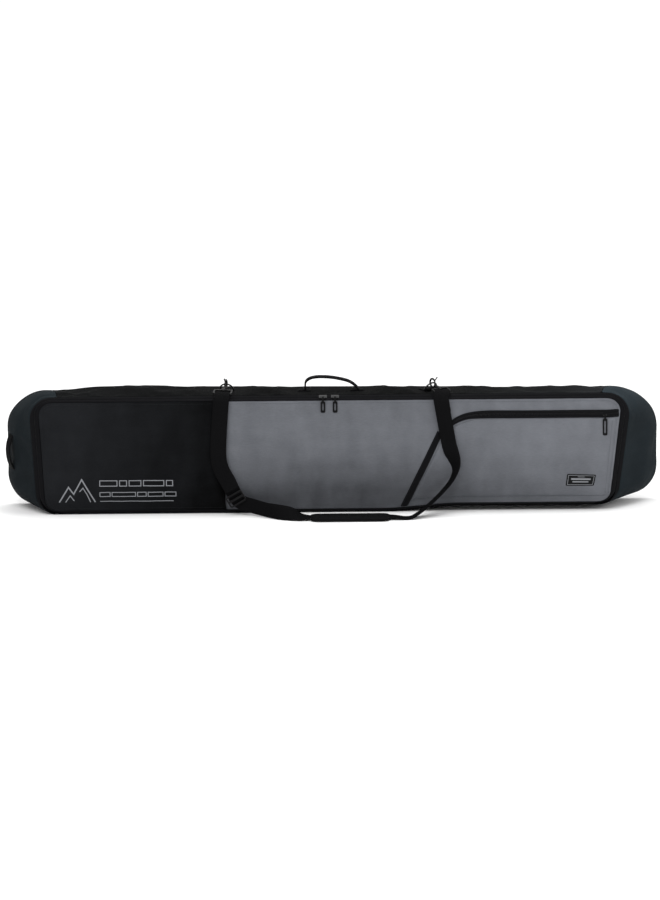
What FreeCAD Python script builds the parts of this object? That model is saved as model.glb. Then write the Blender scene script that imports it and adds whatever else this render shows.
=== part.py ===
import FreeCAD, Part
import math
import os
import Sketcher
from FreeCAD import Placement, Rotation, Vector

# Padded snowboard bag standing on its bottom gusset.
# X runs along the bag, -Y is the opening panel, +Z is up.  The origin is on
# the resting face, below the middle of the bag.  Millimetres throughout.

doc = FreeCAD.newDocument("SnowboardBag")
sheet = doc.addObject("Spreadsheet::Sheet", "Dims")

TABLE = [
    ("panel_left_low", -730, "front panel, left edge at the bottom corner"),
    ("panel_left_high", -742, "front panel, left edge at the top corner"),
    ("panel_right_low", 716, "front panel, right edge at the bottom corner"),
    ("panel_right_high", 741, "front panel, right edge at the top corner"),
    ("panel_bottom", 10, "front panel, lower seam"),
    ("panel_top", 293, "front panel, upper seam"),
    ("panel_corner", 36, "front panel, corner radius"),
    ("panel_front", -76, "front panel, outer face"),
    ("split_lid", -68.8, "rear plane of the opening panel"),
    ("split_shell", -68.2, "front plane of the shell"),
    ("band_half", 11, "panel seam to zip line at the ends"),
    ("band_top", 5, "panel seam to zip line at the top"),
    ("shell_low", 2, "lower edge of the shell at its front plane"),
    ("seam_plane", -60, "seam between zip band and gusset"),
    ("seam_top", 303, "height of the top gusset at that seam"),
    ("seam_corner", 56, "corner radius at that seam"),
    ("rear_plane", 68, "outer face of the back panel"),
    ("rear_left", -826, "back panel, left edge"),
    ("rear_right", 838, "back panel, right edge"),
    ("rear_top_left", 306, "back panel, top edge at the left corner"),
    ("rear_top_right", 293, "back panel, top edge at the right corner"),
    ("rear_corner_top", 100, "back panel, upper corner radius"),
    ("rear_corner_low", 82, "back panel, lower corner radius"),
    ("skin", 1.6, "shell cloth with its backing"),
    ("foam", 5, "closed-cell padding"),
    ("lining_thick", 1, "lining cloth"),
    ("tape_thick", 1.5, "zip tape with its coil"),
    ("end_split", 700, "end gusset starts here, both sides"),
    ("colour_seam", -265, "seam between the dark and the grey front cloth"),
    ("piping_radius", 2.2, "welt round the back panel"),
    ("webbing_width", 38, "shoulder strap webbing"),
    ("webbing_thick", 2, "shoulder strap webbing"),
    ("wire_radius", 2, "D-ring and strap eye wire"),
    ("ring_half", 17, "half the D-ring's bar"),
    ("ring_arm", 5, "straight arm of the D-ring"),
    ("hook_ring", 10.5, "snap hook, ring centre-line radius"),
    ("hook_wire", 2.5, "snap hook, ring wire radius"),
    ("hook_reach", 46, "strap bar to ring centre"),
    ("stem_radius", 2.2, "swivel stem"),
    ("bore_radius", 2.3, "swivel bore"),
    ("eye_half", 22.7, "half the strap eye's width"),
    ("eye_depth", 15, "strap bar to swivel bar"),
    ("handle_radius", 75, "top handle, mean arch radius"),
    ("handle_rise", 33, "top handle, height of the arch"),
    ("handle_thick", 6, "top handle, folded webbing"),
    ("handle_width", 25, "top handle, width"),
    ("haul_radius", 59, "end handle, mean arch radius"),
    ("haul_rise", 30, "end handle, height of the arch"),
    ("pocket_depth", 6.2, "pocket, how far it stands off the panel"),
    ("pocket_wall", 1.2, "pocket cloth"),
    ("pocket_top", 242, "pocket, upper edge below its zip"),
    ("pocket_right", 706, "pocket, right edge"),
    ("pocket_low", 30, "pocket, lower edge"),
    ("pull_width", 12, "zip pull, width"),
    ("pull_thick", 1.8, "zip pull, thickness"),
    ("pull_length", 38, "main zip pull, pivot to tip"),
    ("pocket_pull_length", 52, "pocket zip pull, pivot to tip"),
    ("pin_radius", 0.9, "pivot pin of a zip pull"),
    ("pin_bore", 1.0, "bore of a zip pull"),
    ("glide_width", 46, "ladder lock, width"),
    ("glide_height", 30, "ladder lock, height"),
    ("glide_thick", 3.6, "ladder lock, thickness"),
    ("pad_left", -50, "shoulder pad, left end"),
    ("pad_right", 150, "shoulder pad, right end"),
    ("pad_inner", -120, "shoulder pad, edge nearest the bag"),
    ("pad_outer", -190, "shoulder pad, edge farthest from the bag"),
    ("pad_thick", 10, "shoulder pad, thickness"),
]
for row, (alias, value, note) in enumerate(TABLE, start=1):
    sheet.set("A%d" % row, note)
    sheet.set("B%d" % row, str(value))
    sheet.setAlias("B%d" % row, alias)
doc.recompute()


def D(alias):
    return float(sheet.get(alias))


class Q:
    """A length that carries its spreadsheet expression and its value."""

    def __init__(self, expression, value):
        self.e = expression
        self.v = float(value)

    def __add__(self, other):
        other = wrap(other)
        return Q("(%s + %s)" % (self.e, other.e), self.v + other.v)

    def __sub__(self, other):
        other = wrap(other)
        return Q("(%s - %s)" % (self.e, other.e), self.v - other.v)

    def __mul__(self, factor):
        return Q("(%s * %g)" % (self.e, factor), self.v * factor)

    def __neg__(self):
        return self * -1


def wrap(value):
    if isinstance(value, Q):
        return value
    return Q("%g" % value if value >= 0 else "(%g)" % value, value)


def q(alias):
    return Q("Dims." + alias, D(alias))


NODES = []
counter = [0]


def fresh(stem):
    counter[0] += 1
    return "%s_%03d" % (stem, counter[0])


def node(obj, label):
    obj.Label = label
    NODES.append(obj)
    return obj


def box(x0, x1, y0, y1, z0, z1, name=None):
    x0, x1, y0, y1, z0, z1 = [wrap(v) for v in (x0, x1, y0, y1, z0, z1)]
    b = doc.addObject("Part::Box", name or fresh("Block"))
    for prop, low, high in (("Length", x0, x1), ("Width", y0, y1), ("Height", z0, z1)):
        size = high - low
        setattr(b, prop, size.v)
        b.setExpression(prop, size.e)
    b.Placement = Placement(Vector(x0.v, y0.v, z0.v), Rotation())
    b.setExpression("Placement.Base.x", x0.e)
    b.setExpression("Placement.Base.y", y0.e)
    b.setExpression("Placement.Base.z", z0.e)
    return b


def rod(radius, height, start, direction, name=None):
    """Cylinder from start along direction."""
    radius, height = wrap(radius), wrap(height)
    c = doc.addObject("Part::Cylinder", name or fresh("Rod"))
    c.Radius = radius.v
    c.Height = height.v
    c.setExpression("Radius", radius.e)
    c.setExpression("Height", height.e)
    c.Placement = Placement(Vector(*start), Rotation(Vector(0, 0, 1), Vector(*direction)))
    return c


def ball(radius, centre):
    radius = wrap(radius)
    s = doc.addObject("Part::Sphere", fresh("Ball"))
    s.Radius = radius.v
    s.setExpression("Radius", radius.e)
    s.Placement = Placement(Vector(*centre), Rotation())
    return s


def torus(major, minor, sweep, placement):
    major, minor = wrap(major), wrap(minor)
    t = doc.addObject("Part::Torus", fresh("Ring"))
    t.Radius1 = major.v
    t.Radius2 = minor.v
    t.setExpression("Radius1", major.e)
    t.setExpression("Radius2", minor.e)
    t.Angle3 = sweep
    t.Placement = placement
    return t


def fuse(shapes, name=None):
    f = doc.addObject("Part::MultiFuse", name or fresh("Joined"))
    f.Shapes = shapes
    return f


def cut(base, tool, name=None):
    c = doc.addObject("Part::Cut", name or fresh("Trimmed"))
    c.Base = base
    c.Tool = tool
    return c


def common(base, tool, name=None):
    c = doc.addObject("Part::Common", name or fresh("Piece"))
    c.Base = base
    c.Tool = tool
    return c


def new_body(name):
    return doc.addObject("PartDesign::Body", name)


def origin_plane(body, role):
    for feature in body.Origin.OriginFeatures:
        if feature.Role == role:
            return feature
    raise RuntimeError("no plane " + role)


def new_sketch(body, role, offset=None):
    sk = body.newObject("Sketcher::SketchObject", fresh("Sketch"))
    sk.AttachmentSupport = [(origin_plane(body, role), "")]
    sk.MapMode = "FlatFace"
    if offset is not None:
        offset = wrap(offset)
        sk.AttachmentOffset = Placement(Vector(0, 0, offset.v), Rotation())
        sk.setExpression("AttachmentOffset.Base.z", offset.e)
    return sk


def outline(sk, left, right, low, high, corners):
    """Closed four-sided outline with round corners.

    left and right are (x at the lower end, x at the upper end) of those
    sides; low and high are (z at the left end, z at the right end); corners
    are the radii, starting at the lower left and going round by the right.
    """
    left, right, low, high = [[wrap(v) for v in pair] for pair in (left, right, low, high)]
    c = [wrap(v) for v in corners]
    (xl0, xl1), (xr0, xr1) = [[v.v for v in p] for p in (left, right)]
    (zb0, zb1), (zt0, zt1) = [[v.v for v in p] for p in (low, high)]
    r = [v.v for v in c]
    V = Vector
    bottom = Part.LineSegment(V(xl0 + r[0], zb0, 0), V(xr0 - r[1], zb1, 0))
    side_r = Part.LineSegment(V(xr0, zb1 + r[1], 0), V(xr1, zt1 - r[2], 0))
    top = Part.LineSegment(V(xr1 - r[2], zt1, 0), V(xl1 + r[3], zt0, 0))
    side_l = Part.LineSegment(V(xl1, zt0 - r[3], 0), V(xl0, zb0 + r[0], 0))

    def arc(x, z, radius, a0, a1):
        circle = Part.Circle(V(x, z, 0), V(0, 0, 1), radius)
        return Part.ArcOfCircle(circle, math.radians(a0), math.radians(a1))

    arcs = [arc(xl0 + r[0], zb0 + r[0], r[0], 180, 270),
            arc(xr0 - r[1], zb1 + r[1], r[1], 270, 360),
            arc(xr1 - r[2], zt1 - r[2], r[2], 0, 90),
            arc(xl1 + r[3], zt0 - r[3], r[3], 90, 180)]
    sk.addGeometry([bottom, arcs[1], side_r, arcs[2], top, arcs[3], side_l, arcs[0]], False)
    K = Sketcher.Constraint
    for i in range(8):
        sk.addConstraint(K("Tangent", i, 2, (i + 1) % 8, 1))
    sized = [(K("Radius", 7, c[0].v), c[0]), (K("Radius", 1, c[1].v), c[1]),
             (K("Radius", 3, c[2].v), c[2]), (K("Radius", 5, c[3].v), c[3]),
             (K("DistanceY", -1, 1, 0, 1, low[0].v), low[0]),
             (K("DistanceY", -1, 1, 0, 2, low[1].v), low[1]),
             (K("DistanceX", -1, 1, 2, 1, right[0].v), right[0]),
             (K("DistanceX", -1, 1, 2, 2, right[1].v), right[1]),
             (K("DistanceY", -1, 1, 4, 1, high[1].v), high[1]),
             (K("DistanceY", -1, 1, 4, 2, high[0].v), high[0]),
             (K("DistanceX", -1, 1, 6, 1, left[1].v), left[1]),
             (K("DistanceX", -1, 1, 6, 2, left[0].v), left[0])]
    for constraint, size in sized:
        index = sk.addConstraint(constraint)
        sk.setExpression("Constraints[%d]" % index, size.e)


def rounded(sk, x0, x1, y0, y1, radius):
    outline(sk, (x0, x0), (x1, x1), (y0, y0), (y1, y1), (radius,) * 4)


def pad(body, sk, length, both_ways=False, backwards=False):
    length = wrap(length)
    p = body.newObject("PartDesign::Pad", fresh("Pad"))
    p.Profile = sk
    p.Length = length.v
    p.setExpression("Length", length.e)
    p.Midplane = both_ways
    p.Reversed = backwards
    body.Tip = p
    return p


def loft(body, sections):
    f = body.newObject("PartDesign::AdditiveLoft", fresh("Loft"))
    f.Profile = sections[0]
    f.Sections = sections[1:]
    f.Ruled = True
    f.Closed = False
    body.Tip = f
    return f


# --- the shell's form at several depths below its outer surface -------------
# The end gussets flare from the zip band to the larger back panel, and the
# top edge of the back panel falls a little towards the right end.

def shell_form(name, inset, front_extra=0, below=0):
    inset = wrap(inset)
    b = new_body(name)
    i = inset
    sections = []
    half, top_band = q("band_half"), q("band_top")
    rim = dict(
        left=(q("panel_left_low") - half + i, q("panel_left_high") - half + i),
        right=(q("panel_right_low") + half - i, q("panel_right_high") + half - i),
        low=(q("shell_low") + i - below, q("shell_low") + i - below),
        high=(q("panel_top") + top_band - i, q("panel_top") + top_band - i),
        corners=(q("panel_corner") + 6 - i,) * 4)
    if front_extra:
        sk = new_sketch(b, "XZ_Plane", -(q("split_shell") - front_extra))
        outline(sk, **rim)
        sections.append(sk)
    sk = new_sketch(b, "XZ_Plane", -q("split_shell"))
    outline(sk, **rim)
    sections.append(sk)
    sk = new_sketch(b, "XZ_Plane", -q("seam_plane"))
    outline(sk,
            left=(q("panel_left_low") - half * 2 + i, q("panel_left_high") - half * 2 + i),
            right=(q("panel_right_low") + half * 2 - i, q("panel_right_high") + half * 2 - i),
            low=(i - below, i - below), high=(q("seam_top") - i, q("seam_top") - i),
            corners=(q("seam_corner") - i,) * 4)
    sections.append(sk)
    sk = new_sketch(b, "XZ_Plane", -(q("rear_plane") - i))
    outline(sk,
            left=(q("rear_left") + i, q("rear_left") + i),
            right=(q("rear_right") - i, q("rear_right") - i),
            low=(i - below, i - below), high=(q("rear_top_left") - i, q("rear_top_right") - i),
            corners=(q("rear_corner_low") - i, q("rear_corner_low") - i,
                     q("rear_corner_top") - i, q("rear_corner_top") - i))
    sections.append(sk)
    loft(b, sections)
    return b


form_outer = shell_form("FormOuter", 0, below=0.3)
form_cloth = shell_form("FormCloth", q("skin"), 4)
form_foam = shell_form("FormFoam", q("skin") + q("foam"), 4)
form_inner = shell_form("FormInner", q("skin") + q("foam") + q("lining_thick"), 4)
doc.recompute()

cloth = cut(form_outer, form_cloth, "ClothLayer")
foam_layer = cut(form_cloth, form_foam, "FoamLayer")
lining_layer = cut(form_foam, form_inner, "LiningLayer")

FAR = 1000
END = q("end_split")
front = q("split_shell")
back_cloth = q("rear_plane") - q("skin")
back_foam = back_cloth - q("foam")
MID = 150


def slice_of(layer, label, x0, x1, y0, y1, z0, z1):
    return node(common(layer, box(x0, x1, y0, y1, z0, z1), label), label)


slice_of(cloth, "back_panel", -FAR, FAR, back_cloth, FAR, 0, FAR)
slice_of(cloth, "top_gusset", -END, END, front, back_cloth, MID, FAR)
slice_of(cloth, "bottom_gusset", -END, END, front, back_cloth, 0, MID)
slice_of(cloth, "left_end_gusset", -FAR, -END, front, back_cloth, 0, FAR)
slice_of(cloth, "right_end_gusset", END, FAR, front, back_cloth, 0, FAR)

foam_front = q("seam_plane")
slice_of(foam_layer, "back_foam", -FAR, FAR, back_foam, back_cloth, -10, FAR)
slice_of(foam_layer, "top_foam", -END, END, foam_front, back_foam, MID, FAR)
slice_of(foam_layer, "bottom_foam", -END, END, foam_front, back_foam, -10, MID)
slice_of(foam_layer, "left_end_foam", -FAR, -END, foam_front, back_foam, -10, FAR)
slice_of(foam_layer, "right_end_foam", END, FAR, foam_front, back_foam, -10, FAR)
slice_of(lining_layer, "lining", -FAR, FAR, foam_front, back_foam, -10, FAR)

# Half of the main zip that stays on the shell, a band on top and both ends,
# and the cloth strip that joins the opening panel along the bottom.

def band_form(name, inset):
    inset = wrap(inset)
    b = new_body(name)
    i = inset
    half, top_band = q("band_half"), q("band_top")
    rows = []
    for y, k in ((front, 1.0), (foam_front, 2.0)):
        sk = new_sketch(b, "XZ_Plane", -y)
        outline(sk,
                left=(q("panel_left_low") - half * k + i, q("panel_left_high") - half * k + i),
                right=(q("panel_right_low") + half * k - i, q("panel_right_high") + half * k - i),
                low=(i, i), high=(q("panel_top") + top_band * k - i, q("panel_top") + top_band * k - i),
                corners=((q("panel_corner") + 6 if k < 2 else q("seam_corner")) - i,) * 4)
        rows.append(sk)
    loft(b, rows)
    return b


band_outer = band_form("BandOuter", q("skin") + 0.8)
band_inner = band_form("BandInner", q("skin") + q("tape_thick") + 0.8)
doc.recompute()
tape_ring = cut(band_outer, band_inner, "TapeLayer")
slice_of(tape_ring, "zip_tape_shell", -FAR, FAR, -FAR, foam_front - 0.2, 30, FAR)
node(box(-(END - 10), END - 24, front, front + 1.6, 4, q("panel_bottom") - 0.3, "HingeStrip"), "hinge_strip")

# Welt round the back panel.
b = new_body("WeltBody")
spine = new_sketch(b, "XZ_Plane", -(q("rear_plane") + q("piping_radius") + 0.2))
w = q("piping_radius") + 0.7
outline(spine,
        left=(q("rear_left") + w, q("rear_left") + w),
        right=(q("rear_right") - w, q("rear_right") - w),
        low=(w, w), high=(q("rear_top_left") - w, q("rear_top_right") - w),
        corners=(q("rear_corner_low") - w, q("rear_corner_low") - w,
                 q("rear_corner_top") - w, q("rear_corner_top") - w))
profile = new_sketch(b, "YZ_Plane", 0)
profile.addGeometry(Part.Circle(Vector(D("rear_plane") + D("piping_radius") + 0.2, w.v, 0),
                                Vector(0, 0, 1), D("piping_radius")), False)
for constraint, size in (
        (Sketcher.Constraint("Radius", 0, D("piping_radius")), q("piping_radius")),
        (Sketcher.Constraint("DistanceX", -1, 1, 0, 3, D("rear_plane") + D("piping_radius") + 0.2),
         q("rear_plane") + q("piping_radius") + 0.2),
        (Sketcher.Constraint("DistanceY", -1, 1, 0, 3, w.v), w)):
    k = profile.addConstraint(constraint)
    profile.setExpression("Constraints[%d]" % k, size.e)
pipe = b.newObject("PartDesign::AdditivePipe", "Welt")
pipe.Profile = profile
pipe.Spine = spine
b.Tip = pipe
node(b, "back_welt")

# --- opening panel ----------------------------------------------------------

def lid_form(name, inset, y_front, y_rear):
    inset = wrap(inset)
    b = new_body(name)
    i = inset
    half, top_band = q("band_half"), q("band_top")
    rows = []
    for y, k in ((y_front, 0.0), (y_rear, 1.0)):
        sk = new_sketch(b, "XZ_Plane", -y)
        outline(sk,
                left=(q("panel_left_low") - half * k + i, q("panel_left_high") - half * k + i),
                right=(q("panel_right_low") + half * k - i, q("panel_right_high") + half * k - i),
                low=(q("panel_bottom") + i, q("panel_bottom") + i),
                high=(q("panel_top") + top_band * k - i, q("panel_top") + top_band * k - i),
                corners=(q("panel_corner") + 6 * k - i,) * 4)
        rows.append(sk)
    loft(b, rows)
    return b


panel_face = q("panel_front")
panel_back = panel_face + q("skin")
lid_rear = q("split_lid")
lid_outer = lid_form("LidOuter", 0, panel_face, lid_rear)
lid_inner = lid_form("LidInner", q("tape_thick"), panel_face, lid_rear)
lid_core = lid_form("LidCore", 9, panel_face, lid_rear)
doc.recompute()
seam = q("colour_seam")
slice_of(lid_outer, "front_panel_dark", -FAR, seam, -FAR, panel_back, -10, FAR)
slice_of(lid_outer, "front_panel_grey", seam, FAR, -FAR, panel_back, -10, FAR)
lid_ring = cut(lid_outer, lid_inner, "LidRing")
slice_of(lid_ring, "zip_tape_panel", -FAR, FAR, panel_back, FAR, -10, FAR)
slice_of(lid_core, "panel_foam", -FAR, FAR, panel_back, lid_rear - 1.2, -10, FAR)
slice_of(lid_core, "panel_lining", -FAR, FAR, lid_rear - 1.2, lid_rear - 0.2, -10, FAR)

# Pocket: a shallow tray of cloth with a slanting left edge, its hollow side
# towards the panel.
pocket_face = panel_face - q("pocket_depth")


def pocket_outline(sk, inset):
    """Pocket front: slanted left edge, cut-off upper left corner."""
    s = inset
    pts = [(207 + s * 1.1, D("pocket_low") + s), (D("pocket_right") - s, D("pocket_low") + s),
           (D("pocket_right") + 22 - s, D("pocket_top") - s), (372 + s * 0.3, D("pocket_top") - s),
           (322 + s * 0.6, 228 - s), (290 + s * 1.1, 198 - s * 0.6)]
    n = len(pts)
    for k in range(n):
        a, b2 = pts[k], pts[(k + 1) % n]
        sk.addGeometry(Part.LineSegment(Vector(a[0], a[1], 0), Vector(b2[0], b2[1], 0)), False)
    K = Sketcher.Constraint
    for k in range(n):
        sk.addConstraint(K("Coincident", k, 2, (k + 1) % n, 1))
    for k, (px, pz) in enumerate(pts):
        for kind, value, size in (
                ("DistanceX", px, q("pocket_right") + (px - D("pocket_right"))),
                ("DistanceY", pz, q("pocket_top") + (pz - D("pocket_top")))):
            index = sk.addConstraint(K(kind, -1, 1, k, 1, value))
            sk.setExpression("Constraints[%d]" % index, size.e)


b = new_body("PocketBody")
sk = new_sketch(b, "XZ_Plane", -(panel_face - 0.2))
pocket_outline(sk, 0)
pad(b, sk, q("pocket_depth") - 0.2)
doc.recompute()
solid_volume = b.Shape.Volume
sk = new_sketch(b, "XZ_Plane", -(panel_face - 0.2))
pocket_outline(sk, 3)
hollow = b.newObject("PartDesign::Pocket", "PocketHollow")
hollow.Profile = sk
hollow.Length = D("pocket_depth") - 0.2 - D("pocket_wall")
hollow.setExpression("Length", (q("pocket_depth") - 0.2 - q("pocket_wall")).e)
hollow.Reversed = True
b.Tip = hollow
doc.recompute()
if not b.Shape.Volume < solid_volume * 0.6:
    hollow.Reversed = False
    doc.recompute()
assert b.Shape.Volume < solid_volume * 0.6, "pocket hollow cut nothing"
node(b, "pocket_panel")


def plate(label, pts, y_front, depth, bind_x, bind_z):
    """Flat piece sewn on the panel, from a closed list of (x, z) points."""
    b = new_body(label.title().replace("_", ""))
    sk = new_sketch(b, "XZ_Plane", -(y_front + depth))
    n = len(pts)
    K = Sketcher.Constraint
    for k in range(n):
        a, c = pts[k], pts[(k + 1) % n]
        sk.addGeometry(Part.LineSegment(Vector(a[0], a[1], 0), Vector(c[0], c[1], 0)), False)
    for k in range(n):
        sk.addConstraint(K("Coincident", k, 2, (k + 1) % n, 1))
    for k, (px, pz) in enumerate(pts):
        for kind, value, base in (("DistanceX", px, bind_x), ("DistanceY", pz, bind_z)):
            index = sk.addConstraint(K(kind, -1, 1, k, 1, value))
            sk.setExpression("Constraints[%d]" % index, (q(base) + (value - D(base))).e)
    pad(b, sk, depth)
    return node(b, label)


plate("pocket_zip_tape",
      [(372, 244), (737, 244), (737, 264), (386, 264), (352, 259), (318, 246), (297, 226),
       (281, 201), (287.5, 199.5), (302, 219), (321, 231), (350, 241)],
      panel_face - 1.4, wrap(1.2), "pocket_right", "pocket_top")
plate("pocket_trim",
      [(197, 13), (178, 13), (266, 199), (284, 199)],
      panel_face - 2.2, wrap(2.0), "pocket_right", "pocket_top")
plate("label_patch",
      [(600, 62), (672, 61), (678, 93), (604, 97)],
      pocket_face - 1.4, wrap(1.2), "pocket_right", "pocket_top")

# --- zip sliders and pulls ---------------------------------------------------

def zip_slider(label, centre, tilt, pivot, plate_size):
    """Slider plate over the coil with two ears that carry the pull's pin."""
    length, width, thick = plate_size
    cx, cy, cz = centre
    top = box(-length / 2.0, length / 2.0, -width / 2.0, width / 2.0, 0, thick)
    doc.recompute()
    tilted = doc.addObject("Part::MultiFuse", fresh("Tilted"))
    ridge = box(-length * 0.3, length * 0.3, -1.6, 1.6, thick * 0.5, thick + 1.2)
    tilted.Shapes = [top, ridge]
    tilted.Placement = Placement(Vector(cx, cy, cz), Rotation(Vector(1, 0, 0), tilt))
    py, pz = pivot
    parts = [tilted]
    length_ear = math.hypot(py - cy, pz - cz)
    angle = math.degrees(math.atan2(pz - cz, py - cy))
    for side in (-1, 1):
        ear = box(-0.7, 0.7, 0, length_ear + 1.6, -1.6, 1.6)
        ear.setExpression("Placement.Base.x", None)
        ear.setExpression("Placement.Base.y", None)
        ear.setExpression("Placement.Base.z", None)
        turn = Rotation(Vector(1, 0, 0), angle)
        ear.Placement = Placement(Vector(cx + side * 3.6, cy, cz), turn).multiply(
            Placement(Vector(-0.7, 0, -1.6), Rotation()))
        parts.append(ear)
    parts.append(rod(q("pin_radius"), 8.2, (cx - 4.1, py, pz), (1, 0, 0)))
    return node(fuse(parts, label.title().replace("_", "")), label)


def zip_pull(label, x, pivot, length, width, lean):
    """Pull hanging from its pin: a barrel with a bore, a neck and a slotted tab."""
    length = wrap(length)
    b = new_body(label.title().replace("_", ""))
    sk = new_sketch(b, "XZ_Plane", -0.0)
    rounded(sk, width * -0.5, width * 0.5, -length, -9, 3.4)
    pad(b, sk, q("pull_thick"), both_ways=True)
    doc.recompute()
    before = b.Shape.Volume
    slot = new_sketch(b, "XZ_Plane", -0.0)
    rounded(slot, -2.2, 2.2, -length + 5.5, -14, 2.1)
    cutter = b.newObject("PartDesign::Pocket", fresh("Slot"))
    cutter.Profile = slot
    cutter.Type = 1
    cutter.Midplane = True
    b.Tip = cutter
    doc.recompute()
    assert b.Shape.Volume < before - 20, "slot cut nothing"
    neck = box(-2.4, 2.4, -0.9, 0.9, -10.5, -1.0)
    barrel = rod(2.0, 5.0, (-2.5, 0, 0), (1, 0, 0))
    joined = fuse([b, neck, barrel])
    bored = cut(joined, rod(q("pin_bore"), 10, (-5, 0, 0), (1, 0, 0)), fresh("Pull"))
    bored.Placement = Placement(Vector(x, pivot[0], pivot[1]), Rotation(Vector(1, 0, 0), -lean))
    return node(bored, label)


MAIN_PIVOT = (-80.0, 300.5)
zip_slider("zip_slider_left", (-17, -68.5, 300.6), 33, MAIN_PIVOT, (20, 10, 2.4))
zip_slider("zip_slider_right", (14, -68.5, 300.6), 33, MAIN_PIVOT, (20, 10, 2.4))
zip_pull("zip_pull_left", -17, MAIN_PIVOT, q("pull_length"), 12, 4)
zip_pull("zip_pull_right", 14, MAIN_PIVOT, q("pull_length"), 12, 4)
POCKET_PIVOT = (-85.2, 250.0)
zip_slider("pocket_slider", (701, -78.3, 254.0), 90, POCKET_PIVOT, (20, 12, 2.4))
zip_pull("pocket_pull", 701, POCKET_PIVOT, q("pocket_pull_length"), 12, 0)

# --- handles ----------------------------------------------------------------

def arch(label, radius, rise, thick, width, placement):
    """Webbing loop standing on its two ends; the ends narrow so it can flop."""
    radius, rise, thick, width = [wrap(v) for v in (radius, rise, thick, width)]
    centre = rise - radius
    outer = rod(radius + thick * 0.5, width, (0, width.v / 2, 0), (0, -1, 0))
    inner = rod(radius - thick * 0.5, width + 4, (0, width.v / 2 + 2, 0), (0, -1, 0))
    for c in (outer, inner):
        c.setExpression("Placement.Base.z", centre.e)
    ring = cut(outer, inner)
    upper = common(ring, box(-200, 200, -50, 50, 4, 200))
    wedges = []
    for side in (-1, 1):
        wedge = doc.addObject("Part::Box", fresh("Wedge"))
        wedge.Length, wedge.Width, wedge.Height = 400, 120, 60
        wedge.setExpression("Length", "Dims.handle_radius * 5")
        turn = Rotation(Vector(1, 0, 0), side * 44.0)
        wedge.Placement = Placement(Vector(0, 0, 2.8), turn).multiply(
            Placement(Vector(-200, -60 + side * 60, -60), Rotation()))
        wedges.append(wedge)
    trimmed = cut(upper, fuse(wedges), label.title().replace("_", ""))
    trimmed.Placement = placement
    return node(trimmed, label)


def anchor(label, x0, x1, placement):
    a = box(x0, x1, q("handle_width") * -0.5, q("handle_width") * 0.5, 0.3, 2.3)
    for axis in "xyz":
        a.setExpression("Placement.Base." + axis, None)
    a.Placement = placement.multiply(Placement(Vector(wrap(x0).v, -D("handle_width") / 2, 0.3), Rotation()))
    return node(a, label)


top_place = Placement(Vector(3, 0, 303.4), Rotation())
arch("top_handle", q("handle_radius"), q("handle_rise"), q("handle_thick"), q("handle_width"), top_place)
anchor("top_handle_anchor_left", -83, -52, top_place)
anchor("top_handle_anchor_right", 52, 83, top_place)

run = Vector(-62.0, 128.0, 0)
normal = Vector(-128.0, -62.0, 0).normalize()
haul_base = Vector(-753.0 - 11 - 62 * 85 / 128.0, 25.0, 148.0) + normal * 1.2
haul_place = Placement(haul_base, Rotation(Vector(0, 0, 1), normal.cross(Vector(0, 0, 1)), normal, "ZXY"))
arch("end_handle", q("haul_radius"), q("haul_rise"), 5, q("handle_width"), haul_place)
anchor("end_handle_anchor_low", -74, -48, haul_place)
anchor("end_handle_anchor_high", 48, 74, haul_place)

# --- D-rings, snap hooks and strap eyes -------------------------------------
PITCH = 20.0


def frame_at(base, yaw, pitch):
    return Placement(base, Rotation(Vector(0, 0, 1), yaw).multiply(Rotation(Vector(1, 0, 0), pitch)))


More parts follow.
